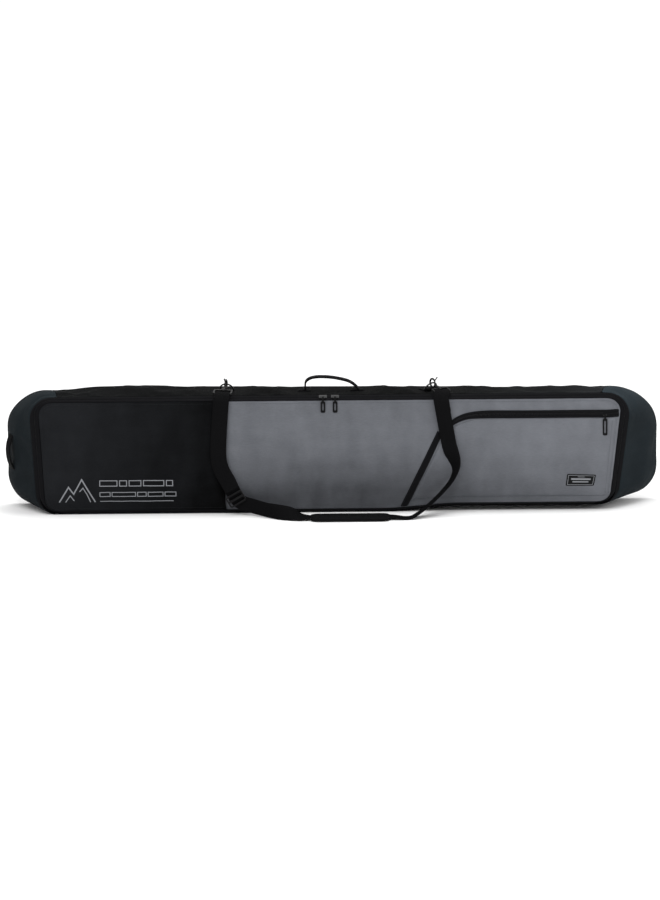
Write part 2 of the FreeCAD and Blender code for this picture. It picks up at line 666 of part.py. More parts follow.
def hook_set(side, base, yaw):
    frame = frame_at(base, yaw, PITCH)
    wire = q("wire_radius")
    half = q("eye_half")
    frame_body = new_body("EyeFrame" + side.title())
    sk = new_sketch(frame_body, "XY_Plane", 0)
    rounded(sk, -half - wire, half + wire, -wire, q("eye_depth") + wire, 4)
    pad(frame_body, sk, wire * 2, both_ways=True)
    doc.recompute()
    full = frame_body.Shape.Volume
    sk = new_sketch(frame_body, "XY_Plane", 0)
    rounded(sk, -half + wire, half - wire, wire, q("eye_depth") - wire, 1.5)
    window = frame_body.newObject("PartDesign::Pocket", fresh("Window"))
    window.Profile = sk
    window.Type = 1
    window.Midplane = True
    frame_body.Tip = window
    doc.recompute()
    assert frame_body.Shape.Volume < full * 0.7, "strap eye window cut nothing"
    boss = box(-4.7, 4.7, 12.6, 19.2, -4.1, 4.1)
    eye = cut(fuse([frame_body, boss]), rod(q("bore_radius"), 14, (0, 9, 0), (0, 1, 0)),
              "StrapEye" + side.title())
    eye.Placement = frame
    node(eye, "strap_eye_" + side)

    reach = D("hook_reach")
    R = D("hook_ring")
    # Ring in the YZ plane, swept about X.  Angles run from +Y towards +Z;
    # the gate closes the stretch from 104 to 154 degrees.
    def ring_part(start, sweep, wire_size):
        # torus axis Z turned to X, its zero angle to +Y
        to_x = Rotation(Vector(0, 1, 0), Vector(0, 0, 1), Vector(1, 0, 0), "XYZ")
        spin = Rotation(Vector(1, 0, 0), start)
        return torus(q("hook_ring"), wire_size, sweep,
                     Placement(Vector(0, reach, 0), spin.multiply(to_x)))

    ring = ring_part(154, 310, q("hook_wire"))
    stem = rod(q("stem_radius"), 25, (0, 9.5, 0), (0, 1, 0))
    head = rod(4.0, 3.6, (0, 9.0, 0), (0, 1, 0))
    collar = rod(4.4, 5.0, (0, 19.4, 0), (0, 1, 0))
    shank = rod(3.0, 12.5, (0, 23.0, 0), (0, 1, 0))
    hook = fuse([ring, stem, head, collar, shank], "SnapHook" + side.title())
    hook.Placement = frame
    node(hook, "snap_hook_" + side)

    gate_bar = ring_part(112, 31, q("hook_wire") - 0.5)
    a = math.radians(126)
    cy, cz = reach + R * math.cos(a), R * math.sin(a)
    lever = rod(1.4, 15, (0, cy, cz), (0, math.cos(math.radians(114)), math.sin(math.radians(114))))
    tip = ball(1.9, (0, cy + 15 * math.cos(math.radians(114)), cz + 15 * math.sin(math.radians(114))))
    gate = fuse([gate_bar, lever, tip], "Gate" + side.title())
    gate.Placement = frame
    node(gate, "hook_gate_" + side)

    tip_point = frame.multVec(Vector(0, reach, 0))
    depth = D("ring_arm") + D("ring_half")
    bar_z = 307.8
    drop = tip_point.z - bar_z
    out = math.sqrt(depth ** 2 - drop ** 2)
    level = Rotation(Vector(0, 0, 1), yaw)
    bar_point = tip_point + level.multVec(Vector(0, out, 0))
    bar_point.z = bar_z
    beta = math.degrees(math.atan2(drop, -out))
    ring_frame = frame_at(bar_point, yaw, beta)
    rh, arm = D("ring_half"), D("ring_arm")
    d_parts = [
        rod(wire, q("ring_half") * 2, (-rh, 0, 0), (1, 0, 0)),
        ball(wire, (-rh, 0, 0)), ball(wire, (rh, 0, 0)),
        rod(wire, q("ring_arm"), (-rh, 0, 0), (0, 1, 0)),
        rod(wire, q("ring_arm"), (rh, 0, 0), (0, 1, 0)),
        torus(q("ring_half"), wire, 180, Placement(Vector(0, arm, 0), Rotation()))]
    dring = fuse(d_parts, "DRing" + side.title())
    dring.Placement = ring_frame
    node(dring, "d_ring_" + side)

    # Webbing tab: a patch on the gusset and a sleeve round the ring's bar.
    tab_frame = frame_at(bar_point, yaw, 0)
    sleeve = rod(4.0, 26, (-13, 0, 0), (1, 0, 0))
    patch = box(-13, 13, 0, 34, -4.2, -2.2)
    tab = cut(fuse([sleeve, patch]), rod(wire + 0.1, 40, (-20, 0, 0), (1, 0, 0)),
              "RingTab" + side.title())
    tab.Placement = tab_frame
    node(tab, "d_ring_tab_" + side)
    pivot = math.radians(150)
    return {
        "base": base, "axis": frame.Rotation.multVec(Vector(0, 1, 0)),
        "across": frame.Rotation.multVec(Vector(1, 0, 0)),
        "gate_pivot": frame.multVec(Vector(0, reach + R * math.cos(pivot), R * math.sin(pivot))),
        "bar": bar_point, "level": level.multVec(Vector(1, 0, 0)), "frame": frame}


LEFT = hook_set("left", Vector(-273, -63, 311), -12.0)
RIGHT = hook_set("right", Vector(288, -63, 311), 35.0)

# --- shoulder strap ----------------------------------------------------------
# One length of webbing.  From its sewn end at the ladder lock it goes up to
# the left strap eye, round the bar, back down behind itself and behind the
# ladder lock, along the ground on its edge, flat through the pad, up to the
# right strap eye and round its bar.

def wrap_round(side, outward):
    """Stations round the strap bar, from the near layer over to the far one."""
    base, axis, across = side["base"], side["axis"], side["across"]
    third = across.cross(axis)
    out = []
    turn = 4.2
    for deg in (-60, -20, 20, 60, 100):
        a = math.radians(deg)
        point = base + (axis * math.cos(a) + third * math.sin(a)) * turn
        out.append((point, across))
    return out if outward else out[::-1]


def S(x, y, z, wx, wy, wz):
    return (Vector(x, y, z), Vector(wx, wy, wz).normalize())


left_up = [S(-249.5, -106.2, 66, 0.90, 0, 0.44), S(-263, -104, 92, 0.93, 0, 0.36),
           S(-277, -101, 118, 0.97, 0, 0.22), S(-284, -99, 142, 1, 0, 0.05),
           S(-285.5, -97, 172, 1, 0, 0), S(-284, -95, 204, 1, 0, -0.02), S(-281, -91.5, 250, 1, 0, -0.02),
           S(-278, -89.5, 285, 1, 0, 0), S(-276, -86.5, 299, 1, -0.03, 0),
           S(-274.5, -78, 309.5, 0.99, -0.12, 0)]
left_down = [S(-273.8, -75.5, 303.2, 0.99, -0.12, 0), S(-275, -81.6, 296.0, 1, -0.03, 0),
             S(-276, -84.6, 285, 1, 0, 0), S(-279, -87, 250, 1, 0, -0.02),
             S(-282, -90, 204, 1, 0, -0.02), S(-283.5, -92.5, 172, 1, 0, 0),
             S(-282, -95, 142, 1, 0, 0.05), S(-275, -97, 118, 0.97, 0, 0.22),
             S(-261, -99, 92, 0.93, 0, 0.36), S(-249, -100.5, 66, 0.90, 0, 0.44),
             S(-238, -102, 45, 0.82, 0, 0.57), S(-222, -104.5, 33, 0.5, 0, 0.86),
             S(-203, -110, 28.5, 0.1, 0.03, 1), S(-180, -123, 24.5, 0.05, 0.03, 1),
             S(-158, -136, 21.4, 0.0, 0.05, 1), S(-128, -150, 19.2, 0, 0.35, 0.93),
             S(-98, -156.5, 15.6, 0, 0.68, 0.73), S(-78, -157, 9.2, 0, 0.94, 0.34),
             S(-52, -155, 7.3, 0, 1, 0)]
through_pad = [S(152, -155, 7.3, 0, 1, 0)]
right_up = [S(172, -155, 5.2, 0, 1, 0), S(190, -154, 2.4, 0, 1, 0), S(205, -152, 3.4, 0, 1, 0),
            S(219, -147, 9.6, -0.02, 1, 0), S(241, -137, 24, -0.05, 1, 0), S(267, -127, 45, -0.08, 1, 0),
            S(290, -119, 67.5, -0.12, 1, 0), S(307, -114, 88, -0.2, 1, 0), S(318, -110, 110, -0.35, 1, 0),
            S(320, -107, 128, -0.7, 0.9, 0.05), S(316, -104, 145, -1, 0.6, 0.1),
            S(309, -102, 162, -1, 0.2, 0.08), S(304, -100, 178, -1, 0.03, 0.02),
            S(298, -98, 210, -1, 0, 0), S(291, -95, 250, -1, 0, 0), S(285, -90.5, 285, -1, -0.03, 0),
            S(283, -87, 297, -1, -0.12, 0), S(285.5, -78, 308.5, -0.92, -0.38, 0)]
right_tail = [S(286.6, -75.3, 303.0, -0.87, -0.49, 0), S(285, -81, 298.0, -0.97, -0.2, 0),
              S(286, -85, 285, -1, -0.05, 0), S(290, -88.5, 262, -1, 0, 0)]
around_left = wrap_round(LEFT, True)
around_left = around_left[::-1]
around_right = [(p, w * -1) for p, w in wrap_round(RIGHT, True)[::-1]]

ROUTE = (left_up + around_left + left_down + through_pad + right_up + around_right + right_tail)


def ribbon(label, stations, width, thick):
    """Webbing as a chain of flat quads given by centre and width direction."""
    pts = [p for p, w_ in stations]
    wires = []
    prev_n = None
    for k, (p, across_dir) in enumerate(stations):
        a = pts[max(k - 1, 0)]
        c = pts[min(k + 1, len(pts) - 1)]
        along = (c - a).normalize()
        w_dir = (across_dir - along * across_dir.dot(along)).normalize()
        n_dir = along.cross(w_dir).normalize()
        corners = [p + w_dir * (su * width / 2) + n_dir * (sv * thick / 2)
                   for su, sv in ((-1, -1), (1, -1), (1, 1), (-1, 1))]
        wires.append(corners)
    faces = []

    def tri(a, b, c):
        faces.append(Part.Face(Part.makePolygon([a, b, c, a])))

    first, last = wires[0], wires[-1]
    tri(first[0], first[1], first[2])
    tri(first[0], first[2], first[3])
    tri(last[2], last[1], last[0])
    tri(last[3], last[2], last[0])
    for k in range(len(wires) - 1):
        u, v = wires[k], wires[k + 1]
        for e in range(4):
            f = (e + 1) % 4
            tri(u[e], v[e], v[f])
            tri(u[e], v[f], u[f])
    shell = Part.makeShell(faces)
    solid = Part.makeSolid(shell)
    if solid.Volume < 0:
        solid.reverse()
    obj = doc.addObject("Part::Feature", "Webbing")
    obj.Shape = solid
    obj.Placement = Placement()
    node(obj, label)
    return obj


webbing = ribbon("strap_webbing", ROUTE, D("webbing_width"), D("webbing_thick"))
length = sum((ROUTE[k + 1][0] - ROUTE[k][0]).Length for k in range(len(ROUTE) - 1))
print("strap webbing length %.0f mm, volume %.0f" % (length, webbing.Shape.Volume))

# Ladder lock: a frame with a middle bar, in front of the webbing.
b = new_body("GlideBody")
sk = new_sketch(b, "XZ_Plane", -0.0)
gw, gh = q("glide_width"), q("glide_height")
rounded(sk, gw * -0.5, gw * 0.5, gh * -0.5, gh * 0.5, 5)
pad(b, sk, q("glide_thick"), both_ways=True)
doc.recompute()
full = b.Shape.Volume
for low, high in ((gh * -0.5 + 3.5, wrap(-2.5)), (wrap(2.5), gh * 0.5 - 3.5)):
    slot = new_sketch(b, "XZ_Plane", -0.0)
    rounded(slot, gw * -0.5 + 3.2, gw * 0.5 - 3.2, low, high, 1.5)
    cutter = b.newObject("PartDesign::Pocket", fresh("Slot"))
    cutter.Profile = slot
    cutter.Type = 1
    cutter.Midplane = True
    b.Tip = cutter
    doc.recompute()
assert b.Shape.Volume < full * 0.8, "ladder lock slots cut nothing"
b.Placement = Placement(Vector(-240.5, -110.2, 46), Rotation(Vector(0, 1, 0), -30))
node(b, "ladder_lock")

# Shoulder pad: a cushion with a sleeve that the webbing slides through.
b = new_body("PadBody")
sk = new_sketch(b, "XY_Plane", 0.2)
rounded(sk, q("pad_left"), q("pad_right"), q("pad_outer"), q("pad_inner"), 26)
pad(b, sk, q("pad_thick"))
doc.recompute()
channel = box(q("pad_left") - 5, q("pad_right") + 5, -155 - 21, -155 + 21, 5.6, 9.0)
node(cut(b, channel, "ShoulderPad"), "shoulder_pad")

doc.recompute()

# --- checks and output --------------------------------------------------------
bad = []
for obj in doc.Objects:
    state = [s for s in obj.State if s in ("Invalid", "Error")]
    if state:
        bad.append((obj.Name, obj.Label, state))
if bad:
    for line in bad:
        print("FAILED", line)
    raise RuntimeError("%d objects failed to recompute" % len(bad))
labels = [obj.Label for obj in NODES]
if len(set(labels)) != len(labels):
    raise RuntimeError("two pieces share a label")
for obj in NODES:
    shape = obj.Shape
    if shape.isNull() or not shape.isValid() or shape.Volume <= 0:
        raise RuntimeError("bad shape in " + obj.Label)
    if len(shape.Solids) != 1:
        raise RuntimeError("%s has %d solids" % (obj.Label, len(shape.Solids)))

os.makedirs("parts", exist_ok=True)
for old in os.listdir("parts"):
    if old.endswith(".step") and old[:-5] not in labels:
        os.remove(os.path.join("parts", old))
for obj in NODES:
    obj.Shape.exportStep("parts/%s.step" % obj.Label)
    bb = obj.Shape.optimalBoundingBox(False)
    print("%-26s x %8.1f %8.1f  y %7.1f %7.1f  z %7.1f %7.1f  vol %.0f" % (
        obj.Label, bb.XMin, bb.XMax, bb.YMin, bb.YMax, bb.ZMin, bb.ZMax, obj.Shape.Volume))
for name, side in (("left", LEFT), ("right", RIGHT)):
    print(name, {k: tuple(round(c, 5) for c in side[k])
                 for k in ("base", "axis", "across", "gate_pivot", "bar", "level")})
print("nodes", len(NODES))
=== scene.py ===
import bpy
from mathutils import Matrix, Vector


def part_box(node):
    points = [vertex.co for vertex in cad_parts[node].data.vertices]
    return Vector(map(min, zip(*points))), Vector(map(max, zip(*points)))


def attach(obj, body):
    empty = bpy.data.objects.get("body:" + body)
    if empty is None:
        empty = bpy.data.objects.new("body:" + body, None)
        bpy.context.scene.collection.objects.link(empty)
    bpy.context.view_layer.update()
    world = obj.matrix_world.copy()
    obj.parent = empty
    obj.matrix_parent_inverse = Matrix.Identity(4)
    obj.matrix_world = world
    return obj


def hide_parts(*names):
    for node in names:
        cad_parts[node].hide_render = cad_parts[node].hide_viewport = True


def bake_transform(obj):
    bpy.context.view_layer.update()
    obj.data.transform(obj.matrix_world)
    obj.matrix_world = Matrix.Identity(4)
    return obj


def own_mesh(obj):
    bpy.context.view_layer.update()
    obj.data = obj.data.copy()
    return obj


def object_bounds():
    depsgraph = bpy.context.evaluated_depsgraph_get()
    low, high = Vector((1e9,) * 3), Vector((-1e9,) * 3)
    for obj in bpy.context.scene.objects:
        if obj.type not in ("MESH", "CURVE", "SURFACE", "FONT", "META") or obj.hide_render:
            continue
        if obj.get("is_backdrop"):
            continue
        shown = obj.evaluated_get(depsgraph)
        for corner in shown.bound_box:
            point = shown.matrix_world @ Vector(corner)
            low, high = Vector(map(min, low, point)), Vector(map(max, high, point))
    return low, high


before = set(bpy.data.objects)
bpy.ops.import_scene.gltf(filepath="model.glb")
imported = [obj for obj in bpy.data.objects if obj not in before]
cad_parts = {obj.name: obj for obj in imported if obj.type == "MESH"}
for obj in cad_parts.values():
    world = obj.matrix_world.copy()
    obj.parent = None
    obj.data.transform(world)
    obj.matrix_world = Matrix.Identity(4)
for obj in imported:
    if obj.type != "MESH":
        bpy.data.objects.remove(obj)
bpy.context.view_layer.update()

import math

import bpy
import numpy as np
from mathutils import Matrix, Vector, noise
from mathutils.bvhtree import BVHTree

SCENE = bpy.context.scene


def box_mm(node):
    low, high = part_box(node)
    return np.array(low) * 1000, np.array(high) * 1000


# Everything below is worked out in millimetres and turned into metres when a
# mesh is made.  The outlines are the CAD's own sections.
BACK_LOW, BACK_HIGH = box_mm("back_panel")
FACE_Y = box_mm("front_panel_dark")[0][1]
LID_Y = box_mm("zip_tape_panel")[1][1]
RIM_Y = box_mm("zip_tape_shell")[0][1]
COLOUR_X = box_mm("front_panel_dark")[1][0]
SEAM_Y, REAR_Y = -60.0, BACK_HIGH[1]

SECTIONS = {
    "panel": (FACE_Y, (-730, -742), (716, 741), 10, (293, 293), (36, 36, 36, 36)),
    "zip": (LID_Y, (-741, -753), (727, 752), 10, (298, 298), (42, 42, 42, 42)),
    "rim": (RIM_Y, (-741, -753), (727, 752), 2, (298, 298), (42, 42, 42, 42)),
    "seam": (SEAM_Y, (-752, -764), (738, 763), 0, (303, 303), (56, 56, 56, 56)),
    "rear": (REAR_Y, (BACK_LOW[0], BACK_LOW[0]), (BACK_HIGH[0], BACK_HIGH[0]), 0,
             (BACK_HIGH[2], 293), (82, 82, 100, 100)),
}

NB, NC, NS = 204, 12, 30
SHARE = (COLOUR_X + 694) / 1374.0
NL = 64
LONG = np.concatenate([np.linspace(0, SHARE, NL, endpoint=False),
                       np.linspace(SHARE, 1, NB - NL + 1)])  # NB + 1 shares
RING = 2 * NB + 2 * NS + 4 * NC


def ring(name, inset=0.0):
    """Closed loop of (x, z) points: bottom, right, top, left, with corners."""
    y, (xl0, xl1), (xr0, xr1), zb, (zt0, zt1), radii = SECTIONS[name]
    i = inset
    r = [max(v - i, 2.0) for v in radii]
    xl0, xl1, xr0, xr1 = xl0 + i, xl1 + i, xr0 - i, xr1 - i
    zb, zt0, zt1 = zb + i, zt0 - i, zt1 - i
    out = []

    def line(a, b, shares):
        for t in shares:
            out.append((a[0] + (b[0] - a[0]) * t, a[1] + (b[1] - a[1]) * t))

    def arc(cx, cz, rad, a0):
        for k in range(NC):
            a = math.radians(a0 + 90.0 * k / NC)
            out.append((cx + rad * math.cos(a), cz + rad * math.sin(a)))

    side = np.linspace(0, 1, NS + 1)[:-1]
    line((xl0 + r[0], zb), (xr0 - r[1], zb), LONG[:-1])
    arc(xr0 - r[1], zb + r[1], r[1], 270)
    line((xr0, zb + r[1]), (xr1, zt1 - r[2]), side)
    arc(xr1 - r[2], zt1 - r[2], r[2], 0)
    line((xr1 - r[2], zt1), (xl1 + r[3], zt0), 1 - LONG[::-1][:-1])
    arc(xl1 + r[3], zt0 - r[3], r[3], 90)
    line((xl1, zt0 - r[3]), (xl0, zb + r[0]), side)
    arc(xl0 + r[0], zb + r[0], r[0], 180)
    return np.array(out)


def ring3(name, inset=0.0, y=None):
    p = ring(name, inset)
    return np.column_stack([p[:, 0], np.full(len(p), SECTIONS[name][0] if y is None else y), p[:, 1]])


def outward(loop):
    """Unit outward normals of a closed (n, 3) loop in the XZ plane."""
    t = np.roll(loop, -1, 0) - np.roll(loop, 1, 0)
    n = np.column_stack([t[:, 2], np.zeros(len(t)), -t[:, 0]])
    return n / np.maximum(np.linalg.norm(n, axis=1), 1e-9)[:, None]


def smooth(a, b, x):
    t = np.clip((x - a) / (b - a), 0, 1)
    return t * t * (3 - 2 * t)


def fractal(x, y, z, octaves=3):
    return noise.fractal(Vector((x, y, z)), 0.9, 2.0, octaves, noise_basis="PERLIN_ORIGINAL")


def field(points, scale, seed, octaves=3):
    """Smooth noise in about -1..1 at each point; scale is three sizes in mm."""
    sx, sy, sz = scale
    return np.array([fractal(p[0] / sx + seed * 7.31, p[1] / sy + seed * 3.7, p[2] / sz - seed * 5.1, octaves)
                     for p in points.reshape(-1, 3)]).reshape(points.shape[:-1])


def sag(points):
    """The whole bag's slump: its underside lifts a little right of the middle
    and the top edge waves where no hardware is sewn."""
    p = np.array(points, float)
    x, y, z = p[..., 0], p[..., 1], p[..., 2]
    lift = 14.0 * smooth(130, 330, x) * np.clip(1 - z / 130.0, 0, 1) ** 1.2
    bare = (1 - np.exp(-((x + 273) / 70.0) ** 2)) * (1 - np.exp(-((x - 288) / 70.0) ** 2))
    bare = bare * (1 - np.exp(-((x - 3) / 105.0) ** 4))
    wave = (np.sin(x / 41.0 + 0.6) * 1.1 + np.sin(x / 23.0 + 2.0) * 0.6 + np.sin(x / 97.0) * 1.1)
    wave = wave * smooth(210, 300, z) * smooth(-66, 10, y) * bare
    rear = smooth(180, 300, z) * smooth(-68, 30, y)
    corners = 11.0 * smooth(-590, -720, x) + 8.0 * smooth(690, 780, x)
    p[..., 2] = z + lift + wave - corners * rear
    return p


# --- meshes ------------------------------------------------------------------

def make(name, verts, faces, mat, body=None, replaces=(), slot=None, levels=0, smooth_faces=True,
         attributes=None, place=None):
    me = bpy.data.meshes.new(name)
    me.from_pydata([tuple(v) for v in np.asarray(verts, float) * 0.001], [], [tuple(int(i) for i in f) for f in faces])
    me.validate()
    if smooth_faces:
        me.shade_smooth()
    for key, values in (attributes or {}).items():
        a = me.attributes.new(key, "FLOAT", "POINT")
        a.data.foreach_set("value", np.asarray(values, np.float32))
    me.materials.append(mat)
    ob = bpy.data.objects.new(name, me)
    SCENE.collection.objects.link(ob)
    if place is not None:
        ob.data.transform(place)
    if levels:
        m = ob.modifiers.new("Smooth", "SUBSURF")
        m.levels = m.render_levels = levels
    if body:
        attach(ob, body)
    if replaces:
        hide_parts(*replaces)
    return ob


def grid_normals(P, loop=False):
    if loop:
        du = np.roll(P, -1, 1) - np.roll(P, 1, 1)
    else:
        du = np.gradient(P, axis=1)
    dv = np.gradient(P, axis=0)
    n = np.cross(du, dv)
    return n / np.maximum(np.linalg.norm(n, axis=2), 1e-9)[..., None]


def grid_solid(P, thick, loop=False, flip=False):
    """Closed shell from a grid of points: the grid, its copy thick below, and
    the edges between.  Returns vertices and faces.  loop closes the columns."""
    R, C = P.shape[:2]
    n = grid_normals(P, loop) * (-1 if flip else 1)
    inner = P - n * thick
    verts = np.concatenate([P.reshape(-1, 3), inner.reshape(-1, 3)])
    off = R * C
    faces = []
    cols = C if loop else C - 1

    def quad(a, b, c, d, rev):
        faces.append((d, c, b, a) if rev else (a, b, c, d))

    for r in range(R - 1):
        for c in range(cols):
            c2 = (c + 1) % C
            a, b, d, e = r * C + c, r * C + c2, (r + 1) * C + c2, (r + 1) * C + c
            quad(a, b, d, e, flip)
            quad(a + off, b + off, d + off, e + off, not flip)
    for c in range(cols):
        c2 = (c + 1) % C
        quad(c, c2, c2 + off, c + off, not flip)
        a, b = (R - 1) * C + c, (R - 1) * C + c2
        quad(a, b, b + off, a + off, flip)
    if not loop:
        for r in range(R - 1):
            a, b = r * C, (r + 1) * C
            quad(a, b, b + off, a + off, flip)
            a, b = r * C + C - 1, (r + 1) * C + C - 1
            quad(a, b, b + off, a + off, not flip)
    return verts, faces


def merge(parts):
    verts, faces, base = [], [], 0
    for v, f in parts:
        verts.append(np.asarray(v, float))
        faces.extend([tuple(i + base for i in q) for q in f])
        base += len(v)
    return np.concatenate(verts), faces


def between(a, b, shares):
    """Rows of points from loop a to loop b."""
    return np.stack([a + (b - a) * s for s in shares])


def corner_indices():
    half = NC // 2
    br = NB + half
    tr = NB + NC + NS + half
    tl = 2 * NB + 2 * NC + NS + half
    bl = 2 * NB + 3 * NC + 2 * NS + half
    return bl, br, tr, tl


def coons(loop):
    """Grid filling a closed loop: rows go up, columns go right."""
    n = len(loop)
    bl, br, tr, tl = corner_indices()

    def walk(a, b):
        k = [a]
        while k[-1] != b:
            k.append((k[-1] + 1) % n)
        return k

    bottom = loop[walk(bl, br)]
    right = loop[walk(br, tr)]
    top = loop[walk(tr, tl)][::-1]
    left = loop[walk(tl, bl)][::-1]
    C, R = len(bottom), len(right)
    # shares by length, so that the grid stays even in the corners
    def shares(line):
        s = np.concatenate([[0], np.cumsum(np.linalg.norm(np.diff(line, axis=0), axis=1))])
        return s / s[-1]
    u = (shares(bottom) + shares(top)) / 2
    v = (shares(left) + shares(right)) / 2
    U, V = np.meshgrid(u, v)
    U, V = U[..., None], V[..., None]
    P = ((1 - V) * bottom[None, :, :] + V * top[None, :, :]
         + (1 - U) * left[:, None, :] + U * right[:, None, :]
         - ((1 - U) * (1 - V) * bottom[0] + U * (1 - V) * bottom[-1]
            + (1 - U) * V * top[0] + U * V * top[-1]))
    return P, u, v


def catmull(points, step):
    """Even points on a smooth curve through points (n, k)."""
    p = np.asarray(points, float)
    ext = np.vstack([2 * p[0] - p[1], p, 2 * p[-1] - p[-2]])
    out = []
    for k in range(1, len(ext) - 2):
        p0, p1, p2, p3 = ext[k - 1], ext[k], ext[k + 1], ext[k + 2]
        n = max(2, int(math.ceil(np.linalg.norm((p2 - p1)[:3]) / step)))
        d0 = max(np.linalg.norm((p1 - p0)[:3]), 1e-3) ** 0.5
        d1 = max(np.linalg.norm((p2 - p1)[:3]), 1e-3) ** 0.5
        d2 = max(np.linalg.norm((p3 - p2)[:3]), 1e-3) ** 0.5
        m1 = (p1 - p0) / d0 - (p2 - p0) / (d0 + d1) + (p2 - p1) / d1
        m2 = (p2 - p1) / d1 - (p3 - p1) / (d1 + d2) + (p3 - p2) / d2
        m1, m2 = m1 * d1, m2 * d1
        for j in range(n):
            t = j / n
            out.append((2 * t ** 3 - 3 * t * t + 1) * p1 + (t ** 3 - 2 * t * t + t) * m1
                       + (-2 * t ** 3 + 3 * t * t) * p2 + (t ** 3 - t * t) * m2)
    out.append(p[-1])
    return np.array(out)


def ribbon(points, widths_dir, width, thick, step=5.0, soft=0.55):
    """Webbing through centre points with a width direction at each.  Returns
    vertices, faces and the along and across attributes."""
    both = catmull(np.column_stack([points, widths_dir]), step)
    c, w = both[:, :3], both[:, 3:]
    t = np.gradient(c, axis=0)
    t /= np.linalg.norm(t, axis=1)[:, None]
    w = w - t * (w * t).sum(1)[:, None]
    w /= np.linalg.norm(w, axis=1)[:, None]
    n = np.cross(t, w)
    a, h = width / 2.0, thick / 2.0
    profile = [(-a + 0.25, -h * 0.45), (-a + 1.2, -h), (-a * 0.5, -h), (0, -h), (a * 0.5, -h), (a - 1.2, -h),
               (a - 0.25, -h * 0.45), (a, 0.0), (a - 0.25, h * 0.45), (a - 1.2, h), (a * 0.5, h), (0, h),
               (-a * 0.5, h), (-a + 1.2, h), (-a + 0.25, h * 0.45), (-a, 0.0)]
    K, N = len(profile), len(c)
    verts = np.concatenate([c[k] + np.array([w[k] * pu + n[k] * pv for pu, pv in profile]) for k in range(N)])
    run = np.concatenate([[0], np.cumsum(np.linalg.norm(np.diff(c, axis=0), axis=1))])
    faces = []
    for k in range(N - 1):
        for j in range(K):
            j2 = (j + 1) % K
            faces.append((k * K + j, k * K + j2, (k + 1) * K + j2, (k + 1) * K + j))
    centre = len(verts)
    verts = np.vstack([verts, c[0] - t[0] * 0.2, c[-1] + t[-1] * 0.2])
    for j in range(K):
        j2 = (j + 1) % K
        faces.append((centre, j2, j))
        faces.append((centre + 1, (N - 1) * K + j, (N - 1) * K + j2))
    along = np.concatenate([np.repeat(run, K), [0, run[-1]]])
    across = np.concatenate([np.tile([p[0] / a for p in profile], N), [0, 0]])
    return verts, faces, {"along": along, "across": across}, (c, w, n, run)


def stitch_line(points, normals, pitch=4.4, length=3.1, radius=0.38, lift=0.12):
    """Separate thread stitches along a line on a surface."""
    p = np.asarray(points, float)
    nrm = np.asarray(normals, float)
    seg = np.linalg.norm(np.diff(p, axis=0), axis=1)
    run = np.concatenate([[0], np.cumsum(seg)])
    total = run[-1]
    count = int((total - length) / pitch) + 1
    parts_v, parts_f = [], []
    if count < 1:
        return np.zeros((0, 3)), []
    start = (total - (count - 1) * pitch - length) / 2

    def at(s):
        return np.array([np.interp(s, run, p[:, k]) for k in range(3)])

    def nat(s):
        v = np.array([np.interp(s, run, nrm[:, k]) for k in range(3)])
        return v / max(np.linalg.norm(v), 1e-9)

    base = 0
    for k in range(count):
        s0 = start + k * pitch
        a, b = at(s0), at(s0 + length)
        n = nat(s0 + length / 2)
        t = b - a
        ln = np.linalg.norm(t)
        if ln < 0.3:
            continue
        t = t / ln
        side = np.cross(n, t)
        side /= max(np.linalg.norm(side), 1e-9)
        up = np.cross(t, side)
        up = up if up @ n > 0 else -up
        vs = [a + n * (lift - radius * 0.6)]
        for q in (0.22, 0.78):
            m = a + (b - a) * q + n * (lift + 0.1)
            for cs, sn in ((1, 0), (0, 1), (-1, 0), (0, -1)):
                vs.append(m + side * radius * cs + up * radius * sn)
        vs.append(b + n * (lift - radius * 0.6))
        parts_v.extend(vs)
        for j in range(4):
            j2 = (j + 1) % 4
            parts_f.append((base, base + 1 + j2, base + 1 + j))
            parts_f.append((base + 1 + j, base + 1 + j2, base + 5 + j2, base + 5 + j))
            parts_f.append((base + 9, base + 5 + j, base + 5 + j2))
        base += 10
    return np.array(parts_v), parts_f


# --- materials ---------------------------------------------------------------

def srgb(r, g, b):
    def f(c):
        c = c / 255.0
        return c / 12.92 if c <= 0.04045 else ((c + 0.055) / 1.055) ** 2.4
    return (f(r), f(g), f(b))


